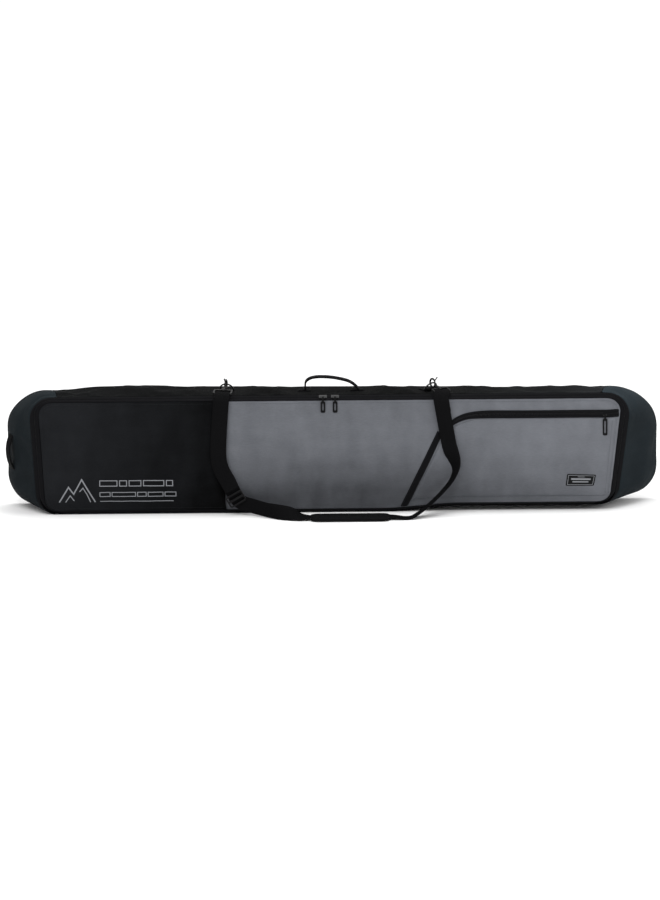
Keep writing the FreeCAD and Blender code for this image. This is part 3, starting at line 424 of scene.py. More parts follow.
class Nodes:
    def __init__(self, name):
        self.mat = bpy.data.materials.new(name)
        self.mat.use_nodes = True
        self.t = self.mat.node_tree
        self.bsdf = next(n for n in self.t.nodes if n.type == "BSDF_PRINCIPLED")

    def add(self, kind, **props):
        n = self.t.nodes.new(kind)
        for k, v in props.items():
            setattr(n, k, v)
        return n

    def link(self, a, b):
        self.t.links.new(a, b)

    def math(self, op, a, b=None, c=None):
        n = self.add("ShaderNodeMath", operation=op)
        for k, v in enumerate((a, b, c)):
            if v is None:
                continue
            if isinstance(v, (int, float)):
                n.inputs[k].default_value = v
            else:
                self.link(v, n.inputs[k])
        return n.outputs[0]

    def coords(self):
        n = self.add("ShaderNodeTexCoord")
        return n.outputs["Object"]

    def noise(self, vector, scale, detail=3.0, rough=0.55, stretch=None):
        if stretch:
            m = self.add("ShaderNodeMapping")
            m.inputs["Scale"].default_value = stretch
            self.link(vector, m.inputs["Vector"])
            vector = m.outputs["Vector"]
        n = self.add("ShaderNodeTexNoise")
        n.inputs["Scale"].default_value = scale
        n.inputs["Detail"].default_value = detail
        n.inputs["Roughness"].default_value = rough
        self.link(vector, n.inputs["Vector"])
        return n.outputs["Fac"]

    def attribute(self, name):
        n = self.add("ShaderNodeAttribute")
        n.attribute_name = name
        return n.outputs["Fac"]

    def ramp(self, value, stops):
        n = self.add("ShaderNodeValToRGB")
        e = n.color_ramp.elements
        while len(e) > len(stops):
            e.remove(e[-1])
        while len(e) < len(stops):
            e.new(0.5)
        for k, (pos, col) in enumerate(stops):
            e[k].position = pos
            e[k].color = (*col, 1.0) if not isinstance(col, (int, float)) else (col, col, col, 1.0)
        self.link(value, n.inputs["Fac"])
        return n.outputs["Color"]

    def mix(self, fac, a, b, blend="MIX"):
        n = self.add("ShaderNodeMix", data_type="RGBA", blend_type=blend)
        if isinstance(fac, (int, float)):
            n.inputs["Factor"].default_value = fac
        else:
            self.link(fac, n.inputs["Factor"])
        for key, v in (("A", a), ("B", b)):
            socket = [s for s in n.inputs if s.name == key and s.type == "RGBA"][0]
            if isinstance(v, tuple):
                socket.default_value = (*v, 1.0)
            else:
                self.link(v, socket)
        return [s for s in n.outputs if s.type == "RGBA"][0]

    def bump(self, height, distance, strength=0.7, chain=None):
        n = self.add("ShaderNodeBump")
        n.inputs["Strength"].default_value = strength
        n.inputs["Distance"].default_value = distance
        self.link(height, n.inputs["Height"])
        if chain is not None:
            self.link(chain, n.inputs["Normal"])
        return n.outputs["Normal"]


def tint(col, k):
    return tuple(min(1.0, c * k) for c in col)


def cloth(name, base, thread=0.75, heather=0.1, blotch=0.07, sheen=0.0, rough=0.86, spec=0.06,
          weave_depth=0.00022, wear=0.35, slub=0.0, crease=0.0006):
    """Woven polyester: basket weave, faint heather, blotches, worn seams."""
    m = Nodes(name)
    co = m.coords()
    sep = m.add("ShaderNodeSeparateXYZ")
    m.link(co, sep.inputs[0])
    k = 2 * math.pi / (thread * 0.001)
    depth_axis = m.math("ADD", sep.outputs["Z"], sep.outputs["Y"])
    wx = m.math("SINE", m.math("MULTIPLY", sep.outputs["X"], k))
    wz = m.math("SINE", m.math("MULTIPLY", depth_axis, k))
    weave = m.math("MULTIPLY_ADD", m.math("MULTIPLY", wx, wz), 0.5, 0.5)
    big = m.math("ADD", m.math("MULTIPLY", m.noise(co, 6.0, 3.0), 0.55), m.math("MULTIPLY", m.noise(co, 24.0, 4.0), 0.45))
    fine = m.noise(co, 420.0, 2.0, 0.6, stretch=(0.25, 1.0, 1.0))
    grit = m.noise(co, 1500.0, 1.0)
    tone = m.mix(m.math("MULTIPLY_ADD", big, 1.6, -0.3), tint(base, 1 - blotch), tint(base, 1 + blotch))
    tone = m.mix(m.math("MULTIPLY_ADD", fine, 2.2, -0.6), tone,
                 m.mix(1.0, tone, (1 + heather, 1 + heather, 1 + heather), "MULTIPLY"))
    tone = m.mix(m.math("MULTIPLY_ADD", grit, 1.4, -0.3), m.mix(1.0, tone, (1 - heather * 0.8,) * 3, "MULTIPLY"), tone)
    tone = m.mix(m.math("MULTIPLY", weave, 0.22), tone, m.mix(1.0, tone, (0.55, 0.55, 0.56), "MULTIPLY"))
    edge = m.attribute("edge")
    worn = m.math("MULTIPLY", m.math("MULTIPLY", edge, wear), m.math("MULTIPLY_ADD", m.noise(co, 60.0, 3.0), 1.6, -0.35))
    tone = m.mix(worn, tone, tint(base, 1.55))
    # painted shade and light: the shade attribute darkens or lightens the cloth colour
    tone = m.mix(1.0, tone, m.math("SUBTRACT", 1.0, m.attribute("shade")), "MULTIPLY")
    m.link(tone, m.bsdf.inputs["Base Color"])
    m.link(m.math("MULTIPLY_ADD", m.noise(co, 30.0, 2.0), 0.14, rough - 0.07), m.bsdf.inputs["Roughness"])
    m.bsdf.inputs["Specular IOR Level"].default_value = spec
    m.bsdf.inputs["Sheen Weight"].default_value = sheen
    m.bsdf.inputs["Sheen Roughness"].default_value = 0.5
    soft_creases = m.noise(co, 38.0, 4.0, 0.5, stretch=(0.45, 1.0, 1.0))
    nrm = m.bump(soft_creases, crease * 2.2, 0.5)
    nrm = m.bump(fine, 0.00018, 0.5, nrm)
    nrm = m.bump(weave, weave_depth, 0.75, nrm)
    m.link(nrm, m.bsdf.inputs["Normal"])
    return m.mat


def webbing(name, base, pitch=2.3, chevron=1.0, sheen=0.0):
    """Ribbed nylon webbing with a bound edge; follows along and across."""
    m = Nodes(name)
    along, across = m.attribute("along"), m.attribute("across")
    co = m.coords()
    lean = m.math("MULTIPLY", m.math("ABSOLUTE", m.math("SINE", m.math("MULTIPLY", across, 9.4))), chevron * 1.6)
    phase = m.math("ADD", m.math("MULTIPLY", along, 2 * math.pi / pitch), m.math("MULTIPLY", lean, 2.0))
    rib = m.math("MULTIPLY_ADD", m.math("SINE", phase), 0.5, 0.5)
    cords = m.math("MULTIPLY_ADD", m.math("SINE", m.math("MULTIPLY", across, 62.0)), 0.5, 0.5)
    edge = m.math("SMOOTH_MIN", m.math("ABSOLUTE", across), 1.0, 0.02)
    border = m.math("GREATER_THAN", edge, 0.93)
    height = m.math("ADD", m.math("MULTIPLY", rib, 0.7), m.math("MULTIPLY", cords, 0.3))
    grain = m.noise(co, 700.0, 2.0)
    # painted shade in the rib grooves and painted light on the rib crests, following the bump height
    tone = m.mix(height, tint(base, 0.7), tint(base, 1.25))
    tone = m.mix(m.math("MULTIPLY", m.noise(co, 25.0, 3.0), 0.6), tone, tint(base, 1.45))
    tone = m.mix(m.math("MULTIPLY", border, 0.35), tone, tint(base, 1.7))
    m.link(tone, m.bsdf.inputs["Base Color"])
    m.link(m.math("MULTIPLY_ADD", grain, 0.2, 0.62), m.bsdf.inputs["Roughness"])
    m.bsdf.inputs["Specular IOR Level"].default_value = 0.03
    m.bsdf.inputs["Sheen Weight"].default_value = sheen
    nrm = m.bump(grain, 0.0002, 0.4)
    nrm = m.bump(height, 0.0004, 0.8, nrm)
    m.link(nrm, m.bsdf.inputs["Normal"])
    return m.mat


def hard(name, base, rough=0.42, metallic=0.0, spec=0.5, coat=0.0, wear_col=None, wear=0.25, grain=0.00006,
         scale=900.0):
    """Moulded plastic or painted metal: fine grain, scuffs and smudged gloss."""
    m = Nodes(name)
    co = m.coords()
    smudge = m.noise(co, 55.0, 4.0)
    scuff = m.noise(co, 260.0, 5.0, 0.7, stretch=(1.0, 0.35, 1.0))
    bare = wear_col or tint(base, 2.2)
    mask = m.ramp(scuff, [(0.0, 0.0), (0.60, 0.0), (0.74, wear), (1.0, wear)])
    tone = m.mix(mask, m.mix(smudge, tint(base, 0.85), tint(base, 1.2)), bare)
    m.link(tone, m.bsdf.inputs["Base Color"])
    m.link(m.math("MULTIPLY_ADD", smudge, 0.24, rough - 0.12), m.bsdf.inputs["Roughness"])
    m.bsdf.inputs["Metallic"].default_value = metallic
    m.bsdf.inputs["Specular IOR Level"].default_value = spec
    m.bsdf.inputs["Coat Weight"].default_value = coat
    nrm = m.bump(m.noise(co, scale, 2.0), grain, 0.5)
    nrm = m.bump(scuff, 0.00008, 0.35, nrm)
    m.link(nrm, m.bsdf.inputs["Normal"])
    return m.mat


def thread(name, base):
    m = Nodes(name)
    co = m.coords()
    fuzz = m.noise(co, 2400.0, 2.0)
    m.link(m.mix(fuzz, tint(base, 0.7), tint(base, 1.35)), m.bsdf.inputs["Base Color"])
    m.bsdf.inputs["Roughness"].default_value = 0.6
    m.bsdf.inputs["Specular IOR Level"].default_value = 0.15
    m.link(m.bump(fuzz, 0.0001, 0.6), m.bsdf.inputs["Normal"])
    return m.mat


def printed(name, base):
    """Screen print that lets a little of the weave through."""
    m = Nodes(name)
    co = m.coords()
    gaps = m.noise(co, 900.0, 3.0, 0.7)
    worn = m.noise(co, 45.0, 4.0)
    tone = m.mix(gaps, tint(base, 0.82), tint(base, 1.08))
    tone = m.mix(m.ramp(worn, [(0.0, 0.0), (0.62, 0.0), (0.75, 0.35), (1.0, 0.35)]), tone, tint(base, 0.55))
    m.link(tone, m.bsdf.inputs["Base Color"])
    m.link(m.math("MULTIPLY_ADD", worn, 0.2, 0.6), m.bsdf.inputs["Roughness"])
    m.link(m.bump(gaps, 0.00012, 0.6), m.bsdf.inputs["Normal"])
    return m.mat


M_DARK = cloth("cloth_dark", srgb(21, 22, 24), heather=0.12, blotch=0.14, spec=0.05)
M_END = cloth("cloth_end", srgb(22, 27, 30), heather=0.10, blotch=0.12)
M_TOP = cloth("cloth_top", srgb(20, 21, 22), heather=0.10, blotch=0.12, spec=0.04)
M_BACK = cloth("cloth_back", srgb(22, 26, 28), heather=0.10, blotch=0.10)
M_GREY = cloth("cloth_grey", srgb(96, 98, 103), heather=0.12, blotch=0.09, spec=0.08, wear=0.22, crease=0.001)
M_BAND = cloth("zip_tape", srgb(14, 14, 16), thread=0.9, heather=0.10, blotch=0.05, wear=0.2)
M_LINING = cloth("lining_cloth", srgb(27, 28, 31), thread=0.6, heather=0.08, blotch=0.06, sheen=0.05, spec=0.2,
                 rough=0.6, wear=0.0)
M_WEB = webbing("webbing", srgb(9, 9, 10))
M_WEB_FINE = webbing("webbing_fine", srgb(10, 10, 11), pitch=1.8, chevron=0.0)
M_PADCLOTH = cloth("pad_cloth", srgb(12, 12, 13), thread=1.6, heather=0.14, blotch=0.06, weave_depth=0.0005)
M_METAL = hard("black_metal", srgb(11, 11, 12), rough=0.36, metallic=0.0, spec=0.22, coat=0.0,
               wear_col=srgb(60, 60, 62), wear=0.35)
M_PULL = hard("pull_plastic", srgb(9, 9, 10), rough=0.46, spec=0.08)
M_BUCKLE = hard("buckle_plastic", srgb(9, 9, 10), rough=0.4, spec=0.12)
M_COIL = hard("zip_coil", srgb(13, 13, 15), rough=0.42, spec=0.15)
M_THREAD = thread("thread_dark", srgb(24, 25, 27))
M_THREAD_GREY = thread("thread_grey", srgb(66, 69, 74))
M_PRINT = printed("print_grey", srgb(118, 120, 124))
M_LABEL = hard("label_rubber", srgb(10, 11, 12), rough=0.55, grain=0.00012, spec=0.1)

for node, mat in [("zip_slider_left", M_METAL), ("zip_slider_right", M_METAL), ("pocket_slider", M_METAL),
                  ("zip_pull_left", M_PULL), ("zip_pull_right", M_PULL), ("pocket_pull", M_PULL),
                  ("snap_hook_left", M_METAL), ("snap_hook_right", M_METAL),
                  ("hook_gate_left", M_METAL), ("hook_gate_right", M_METAL),
                  ("strap_eye_left", M_METAL), ("strap_eye_right", M_METAL),
                  ("d_ring_left", M_METAL), ("d_ring_right", M_METAL)]:
    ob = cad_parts[node]
    ob.data.materials.clear()
    ob.data.materials.append(mat)

# --- camera, stage and light --------------------------------------------------

TARGET = Vector((0.0, -0.072, 0.1632))
REACH, ELEVATION, ROLL = 18.0, math.radians(12.0), math.radians(-0.5)
cam_data = bpy.data.cameras.new("Camera")
cam = bpy.data.objects.new("Camera", cam_data)
SCENE.collection.objects.link(cam)
back = Vector((0, -math.cos(ELEVATION), math.sin(ELEVATION)))
cam.location = TARGET + back * REACH
cam.rotation_mode = "QUATERNION"
turn = (-back).to_track_quat("-Z", "Y")
cam.rotation_quaternion = turn @ Matrix.Rotation(ROLL, 4, "Z").to_quaternion()
cam_data.sensor_width = 36.0
cam_data.sensor_fit = "HORIZONTAL"
cam_data.lens = 36.0 * REACH / 1.683
cam_data.dof.use_dof = False
cam_data.clip_start, cam_data.clip_end = 0.1, 60
SCENE.camera = cam
SCENE.view_settings.view_transform = "Standard"
SCENE.view_settings.look = "None"


def stage_mesh():
    """Wide flat pale floor, open on every side."""
    line = [-55000, -30000, -15000, -8000, -4000, -2000, 0, 2000, 4000, 8000, 15000, 30000, 55000]
    P = np.array([[(x, y, 0.0) for x in line] for y in line], float)
    R, C = P.shape[:2]
    faces = [(r * C + c, r * C + c + 1, (r + 1) * C + c + 1, (r + 1) * C + c)
             for r in range(R - 1) for c in range(C - 1)]
    return P.reshape(-1, 3), faces


floor_mat = Nodes("stage_paper")
floor_mat.link(floor_mat.mix(floor_mat.noise(floor_mat.coords(), 3.0, 2.0), (0.93, 0.93, 0.93), (0.96, 0.96, 0.96)),
               floor_mat.bsdf.inputs["Base Color"])
floor_mat.bsdf.inputs["Roughness"].default_value = 0.9
floor_mat.bsdf.inputs["Specular IOR Level"].default_value = 0.1
# the paper glows a little away from the lamps, so it stays pale to the horizon
away = floor_mat.add("ShaderNodeVectorMath", operation="LENGTH")
floor_mat.link(floor_mat.coords(), away.inputs[0])
glow = floor_mat.ramp(floor_mat.math("MULTIPLY", away.outputs["Value"], 0.1),
                      [(0.0, 0.0), (0.15, 0.0), (0.45, 0.36), (1.0, 0.36)])
floor_mat.bsdf.inputs["Emission Color"].default_value = (1.0, 1.0, 1.0, 1.0)
floor_mat.link(glow, floor_mat.bsdf.inputs["Emission Strength"])
v, f = stage_mesh()
floor = make("stage_floor", v, f, floor_mat.mat)
floor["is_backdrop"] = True

world = bpy.data.worlds.new("Studio")
SCENE.world = world
world.use_nodes = True
bg = next(n for n in world.node_tree.nodes if n.type == "BACKGROUND")
bg.inputs["Color"].default_value = (1.0, 1.0, 1.0, 1.0)
bg.inputs["Strength"].default_value = 0.72


def area(name, place, look, size, size_y, power):
    data = bpy.data.lights.new(name, "AREA")
    data.shape = "RECTANGLE"
    data.size, data.size_y = size, size_y
    data.energy = power
    ob = bpy.data.objects.new(name, data)
    SCENE.collection.objects.link(ob)
    ob.location = place
    ob.rotation_mode = "QUATERNION"
    ob.rotation_quaternion = (Vector(look) - Vector(place)).to_track_quat("-Z", "Y")
    return ob


area("Key", (-0.5, -2.9, 3.4), (0, 0, 0.15), 3.6, 1.8, 95)
area("Top", (0.3, 0.4, 3.0), (0, 0, 0.2), 3.4, 1.2, 60)
area("RightFill", (3.4, -1.6, 1.7), (0.4, 0, 0.15), 1.6, 1.6, 24)

# --- the opening panel ---------------------------------------------------------

LOOP = {k: ring3(k) for k in SECTIONS}


def crown(x, z):
    """How far the padded front stands out of its seam plane, in mm."""
    u = np.clip((x + 742) / 1483.0, 0, 1)
    v = np.clip((z - 10) / 283.0, 0, 1)
    lengthwise = 1 - np.abs(2 * u - 1) ** 7
    up = np.sin(math.pi * v ** 0.75) ** 0.9
    edge_x = smooth(0, 16, (x + 738)) * smooth(0, 16, (735 - x))
    roll_top = smooth(0, 9, 293 - z)
    roll_low = smooth(0, 30, z - 8)
    seam_dip = 1.3 * np.exp(-((x - COLOUR_X) / 5.0) ** 2)
    valley = 3.2 * smooth(285, 350, x) * (1 - smooth(620, 700, x)) * np.exp(-((z - 240) / 27.0) ** 2)
    return (8.6 * lengthwise * up + 1.4 * edge_x * roll_top - 4.0 * (1 - roll_low)
            - 2.2 * (1 - edge_x) - seam_dip * smooth(0, 20, z - 10) - valley)


def front_grid():
    flat, u, v = coons(LOOP["panel"])
    x, z = flat[..., 0], flat[..., 2]
    P = flat.copy()
    rng = field(P * [1, 0, 1], (150, 1, 70), 3, 3) * 0.9
    rng += field(P * [1, 0, 1], (60, 1, 34), 8, 2) * 0.35
    inside = np.clip(np.minimum.reduce([x + 742, 741 - x, z - 10, 293 - z]) / 45.0, 0, 1)
    P[..., 1] = FACE_Y + 0.6 - crown(x, z) - rng * inside
    return P, u, v


def simulate(P, loop=False, pressure=1.6, grow=0.010, cap=4.0, frames=20, pins=None, flip=False, stiff=18.0):
    """Cloth, pinned at its sewn edges, slightly too large for them and held
    out by its filling.  Returns the grid moved by at most cap mm."""
    R, C = P.shape[:2]
    cols = C if loop else C - 1
    faces = []
    for r in range(R - 1):
        for c in range(cols):
            c2 = (c + 1) % C
            q = (r * C + c, r * C + c2, (r + 1) * C + c2, (r + 1) * C + c)
            faces.append(q[::-1] if flip else q)
    me = bpy.data.meshes.new("sim")
    me.from_pydata([tuple(p) for p in P.reshape(-1, 3) * 0.001], [], faces)
    ob = bpy.data.objects.new("sim", me)
    SCENE.collection.objects.link(ob)
    group = ob.vertex_groups.new(name="pin")
    hold = np.zeros((R, C)) if pins is None else np.array(pins, float)
    hold[0, :] = hold[-1, :] = 1
    if not loop:
        hold[:, 0] = hold[:, -1] = 1
    for k, w in enumerate(hold.ravel()):
        if w > 0.001:
            group.add([k], float(w), "REPLACE")
    mod = ob.modifiers.new("Cloth", "CLOTH")
    s = mod.settings
    s.quality = 4
    s.mass = 0.35
    s.tension_stiffness = s.compression_stiffness = stiff
    s.shear_stiffness = 6.0
    s.bending_stiffness = 1.2
    s.air_damping = 3.0
    s.effector_weights.gravity = 0.0
    s.use_pressure = True
    s.uniform_pressure_force = pressure
    s.shrink_min = -grow
    s.vertex_group_mass = "pin"
    mod.collision_settings.use_collision = False
    mod.point_cache.frame_start, mod.point_cache.frame_end = 1, frames
    for k in range(1, frames + 1):
        SCENE.frame_set(k)
    dg = bpy.context.evaluated_depsgraph_get()
    ev = ob.evaluated_get(dg)
    got = np.zeros(R * C * 3, np.float32)
    ev.data.vertices.foreach_get("co", got)
    SCENE.frame_set(1)
    bpy.data.objects.remove(ob)
    bpy.data.meshes.remove(me)
    move = got.reshape(R, C, 3).astype(float) * 1000 - P
    size = np.linalg.norm(move, axis=2)
    move *= (np.minimum(size, cap) / np.maximum(size, 1e-9))[..., None]
    return P + move


def soften(P, rounds=1, loop=False):
    """Evens out a simulated grid a little, edges kept."""
    for _ in range(rounds):
        Q = P.copy()
        Q[1:-1, 1:-1] = (P[1:-1, 1:-1] * 4 + P[:-2, 1:-1] + P[2:, 1:-1] + P[1:-1, :-2] + P[1:-1, 2:]) / 8
        if loop:
            L_, R_ = np.roll(P, 1, 1), np.roll(P, -1, 1)
            Q[1:-1] = (P[1:-1] * 4 + P[:-2] + P[2:] + L_[1:-1] + R_[1:-1]) / 8
        P = Q
    return P


FRONT, FU, FV = front_grid()
half = NC // 2
COLOUR_COL = half + NL  # column of the colour seam
pins = np.zeros(FRONT.shape[:2])
pins[:, COLOUR_COL] = 0.85
FRONT = soften(simulate(FRONT, pins=pins, pressure=0.8, grow=0.008, cap=3.2), 1)
FRONT = sag(FRONT)


def edge_share(P, reach=9.0, sides=(1, 1, 1, 1)):
    """1 at the sewn edge of a grid, 0 inside: low, high, left, right."""
    R, C = P.shape[:2]
    out = np.zeros((R, C))
    up = np.concatenate([np.zeros((1, C)), np.cumsum(np.linalg.norm(np.diff(P, axis=0), axis=2), axis=0)])
    across = np.concatenate([np.zeros((R, 1)), np.cumsum(np.linalg.norm(np.diff(P, axis=1), axis=2), axis=1)], axis=1)
    for k, d in enumerate((up, up[-1:] - up, across, across[:, -1:] - across)):
        if sides[k]:
            out = np.maximum(out, np.clip(1 - d / reach, 0, 1))
    return out


def painted_front_shade(P):
    """Painted shade and light on the front cloth, as the share of its colour taken away: painted shade towards the
    floor where the padded front turns under, strongest on the grey's left part; painted light towards the grey's right
    end and on the left of the dark cloth; painted shade across the right of the dark cloth and a little along the
    grey's upper edge; streaks of painted wrinkle shade.
    """
    x, z = P[..., 0], P[..., 2]
    low = np.interp(z, [37, 60, 84, 107, 131, 154, 225], [1.0, 0.92, 0.78, 0.55, 0.40, 0.14, 0.0])
    painted_wrinkle_shade = 0.11 * field(P * [1, 0, 1], (46, 1, 120), 31, 3) + 0.05 * field(P * [1, 0, 1], (120, 1, 30), 37, 3)
    grey = np.interp(x, [250, 690], [0.48, 0.20]) * low - 0.14 * smooth(200, 700, x) + 0.07 * smooth(215, 280, z)
    dark = np.interp(x, [-700, -512, -360, -321], [-0.55, 0.0, 0.4, 0.6]) + 0.18 * low
    return np.where(x > COLOUR_X, grey + painted_wrinkle_shade, dark + 2 * painted_wrinkle_shade)


def gusset_shade(P):
    """Painted shade and light on the shell cloth: painted shade, nearly black, in the middle of the top and painted
    light towards its right end; painted light on the right end cloth, most at its top, and on the top of the left end;
    plus random tone.
    """
    x, z = P[..., 0], P[..., 2]
    top = np.interp(x, [-620, -400, 0, 300, 450, 600, 700], [0.5, 0.6, 0.75, 0.7, 0.15, -0.15, -0.9])
    ends = np.where(x > 0, -0.35 - 1.2 * smooth(235, 300, z), -0.35 * smooth(215, 290, z))
    return np.where(np.abs(x) > 699, ends, top) + 0.16 * field(P, (60, 60, 60), 41, 3)


def solid_piece(name, P, thick, mat, body, replaces=(), slot=None, loop=False, flip=False, levels=1, sides=(1, 1, 1, 1),
                reach=9.0, shade=None):
    v, f = grid_solid(P, thick, loop, flip)
    e = edge_share(P, reach, sides).ravel()
    at = {"edge": np.concatenate([e, e])}
    if shade is not None:
        at["shade"] = np.concatenate([shade.ravel(), shade.ravel()])
    return make(name, v, f, mat, body, replaces, slot, levels, attributes=at)


DARK = FRONT[:, :COLOUR_COL + 1]
GREY = FRONT[:, COLOUR_COL:]
# both front cloths carry painted shade and light in their shade attribute
front_dark = solid_piece("front_cloth_dark", DARK, 2.4, M_DARK, "opening_panel", ["front_panel_dark"], "dark_cloth",
                         shade=painted_front_shade(DARK - [1, 0, 0]))
front_grey = solid_piece("front_cloth_grey", GREY, 2.4, M_GREY, "opening_panel", ["front_panel_grey", "panel_foam"],
                         "grey_cloth", shade=painted_front_shade(GREY + [1, 0, 0]))

FRONT_TREE = BVHTree.FromPolygons(
    [Vector(p) for p in FRONT.reshape(-1, 3)],
    [(r * FRONT.shape[1] + c, r * FRONT.shape[1] + c + 1, (r + 1) * FRONT.shape[1] + c + 1, (r + 1) * FRONT.shape[1] + c)
     for r in range(FRONT.shape[0] - 1) for c in range(FRONT.shape[1] - 1)])


def on_front(x, z, tree=None, default=-76.0):
    """Point and outward normal of the front cloth at (x, z)."""
    hit, n, _, _ = (tree or FRONT_TREE).ray_cast(Vector((x, -400, z)), Vector((0, 1, 0)))
    if hit is None:
        hit, n, _, _ = (tree or FRONT_TREE).find_nearest(Vector((x, default, z)))
    n = np.array(n)
    if n[1] > 0:
        n = -n
    return np.array(hit), n


def stitches_on(name, path, mat, body, tree=None, lift=0.0, closed=False, **kw):
    """Thread stitches along an (x, z) path dropped on the front surface."""
    parts = []
    for line in path:
        line = np.asarray(line, float)
        fine = [line[0]]
        for a, b in zip(line[:-1], line[1:]):
            n = max(1, int(np.linalg.norm(b - a) / 6))
            fine.extend([a + (b - a) * (k + 1) / n for k in range(n)])
        pts, nrm = zip(*[on_front(p[0], p[1], tree) for p in fine])
        pts = np.array(pts) + np.array(nrm) * lift
        parts.append(stitch_line(pts, nrm, **kw))
    v, f = merge(parts)
    return make(name, v, f, mat, body, smooth_faces=True)


def loop_path(name, inset, keep=lambda x, z: True):
    p = ring(name, inset)
    p = np.vstack([p, p[:1]])
    runs, now = [], []
    for x, z in p:
        if keep(x, z):
            now.append((x, z))
        elif now:
            runs.append(now)
            now = []
    if now:
        runs.append(now)
    return [r for r in runs if len(r) > 2]


stitches_on("stitches_front_dark", loop_path("panel", 6.5, lambda x, z: x < COLOUR_X - 6), M_THREAD, "opening_panel")
stitches_on("stitches_front_grey", loop_path("panel", 6.5, lambda x, z: x > COLOUR_X + 6), M_THREAD_GREY, "opening_panel")
stitches_on("stitches_colour_seam", [[(COLOUR_X + 5.5, 16), (COLOUR_X + 5.5, 287)]], M_THREAD_GREY, "opening_panel")

# Zip bands: from the panel's edge to the zip line, and from there to the seam.
front_edge_ids = []
R_, C_ = FRONT.shape[:2]
bl, br, tr, tl = corner_indices()
EDGE = np.zeros((RING, 3))
walks = [(bl, br, FRONT[0, :]), (br, tr, FRONT[:, -1]), (tr, tl, FRONT[-1, ::-1]), (tl, bl, FRONT[::-1, 0])]
for a, b, line in walks:
    k = a
    for p in line:
        EDGE[k] = p
        k = (k + 1) % RING
ZIP = sag(LOOP["zip"])
RIM = sag(LOOP["rim"])
SEAM = sag(LOOP["seam"])
REAR = sag(LOOP["rear"])

band = between(EDGE, ZIP, np.linspace(0, 1, 7))
mid = np.sin(np.linspace(0, math.pi, 7))[:, None]
out_zip = outward(LOOP["zip"])
band += (out_zip * 0.55 + np.array([0, -0.8, 0]) * 0.9)[None] * mid[..., None] * 0.9
band[..., 1] = np.minimum(band[..., 1], LID_Y - 0.05)
solid_piece("zip_band_panel", band, 1.3, M_BAND, "opening_panel", ["zip_tape_panel"], "zip_tape", loop=True,
            sides=(1, 0, 0, 0), reach=4)

shell_band = between(RIM, SEAM, np.linspace(0, 1, 7))
shell_band += (outward(LOOP["seam"]) * 0.7 + np.array([0, -0.3, 0]))[None] * mid[..., None] * 1.0
shell_band[..., 1] = np.maximum(shell_band[..., 1], RIM_Y + 0.05)
solid_piece("zip_band_shell", shell_band, 1.4, M_BAND, "bag_shell", ["zip_tape_shell"], "zip_tape", loop=True,
            sides=(0, 1, 0, 0), reach=4)


def coil(name, loop, offset_y, body, phase):
    """Zip coil: one bent loop of monofilament after another along the line."""
    keep = np.array([p[2] > 30 for p in loop])
    start = int(np.argmax(keep & ~np.roll(keep, 1)))
    order = [(start + k) % RING for k in range(RING)]
    order = [k for k in order if keep[k]]
    p = loop[order]
    n = outward(loop)[order] * 0.82 + np.array([0, -0.57, 0])
    n /= np.linalg.norm(n, axis=1)[:, None]
    run = np.concatenate([[0], np.cumsum(np.linalg.norm(np.diff(p, axis=0), axis=1))])
    pitch = 2.2
    parts_v, parts_f, base = [], [], 0
    for s in np.arange(2 + phase * pitch, run[-1] - 2, pitch):
        c = np.array([np.interp(s, run, p[:, k]) for k in range(3)])
        m = np.array([np.interp(s, run, n[:, k]) for k in range(3)])
        a = np.array([np.interp(s + 0.5, run, p[:, k]) for k in range(3)])
        t = a - c
        t /= max(np.linalg.norm(t), 1e-9)
        m /= np.linalg.norm(m)
        w = np.cross(t, m)
        if (w[1] > 0) != (offset_y > 0):
            w = -w
        # flattened tooth: wide foot on the tape, head towards the other side
        rows = [(2.5, 0.30, 0.25), (1.6, 0.42, 0.95), (0.55, 0.60, 1.05), (0.12, 0.55, 0.55)]
        for d, hw, ht in rows:
            q = c + w * d + m * 0.35
            parts_v += [q - t * hw - m * 0.3, q + t * hw - m * 0.3, q + t * hw * 0.7 + m * ht, q - t * hw * 0.7 + m * ht]
        for r in range(3):
            o = base + r * 4
            for j in range(4):
                j2 = (j + 1) % 4
                parts_f.append((o + j, o + j2, o + 4 + j2, o + 4 + j))
        parts_f.append((base + 3, base + 2, base + 1, base))
        parts_f.append((base + 12, base + 13, base + 14, base + 15))
        base += 16
    return make(name, np.array(parts_v), parts_f, M_COIL, body, smooth_faces=False)


coil("zip_teeth_panel", ZIP, -1, "opening_panel", 0.0)
coil("zip_teeth_shell", RIM, 1, "bag_shell", 0.5)


def row_stitches(P, share_row, name, mat, body, cols=None, loop=True, **kw):
    """Stitches along one row of a grid, at a fractional row."""
    r = int(math.floor(share_row))
    t = share_row - r
    line = P[r] * (1 - t) + P[min(r + 1, len(P) - 1)] * t
    nrm = grid_normals(P, loop)
    nl = nrm[r] * (1 - t) + nrm[min(r + 1, len(P) - 1)] * t
    if cols is not None:
        line, nl = line[cols], nl[cols]
    elif loop:
        line, nl = np.vstack([line, line[:1]]), np.vstack([nl, nl[:1]])
    v, f = stitch_line(line, nl, **kw)
    return make(name, v, f, mat, body)


row_stitches(band, 1.4, "stitches_band_panel", M_THREAD, "opening_panel")
row_stitches(shell_band, 4.9, "stitches_band_shell", M_THREAD, "bag_shell")

# --- shell ---------------------------------------------------------------------

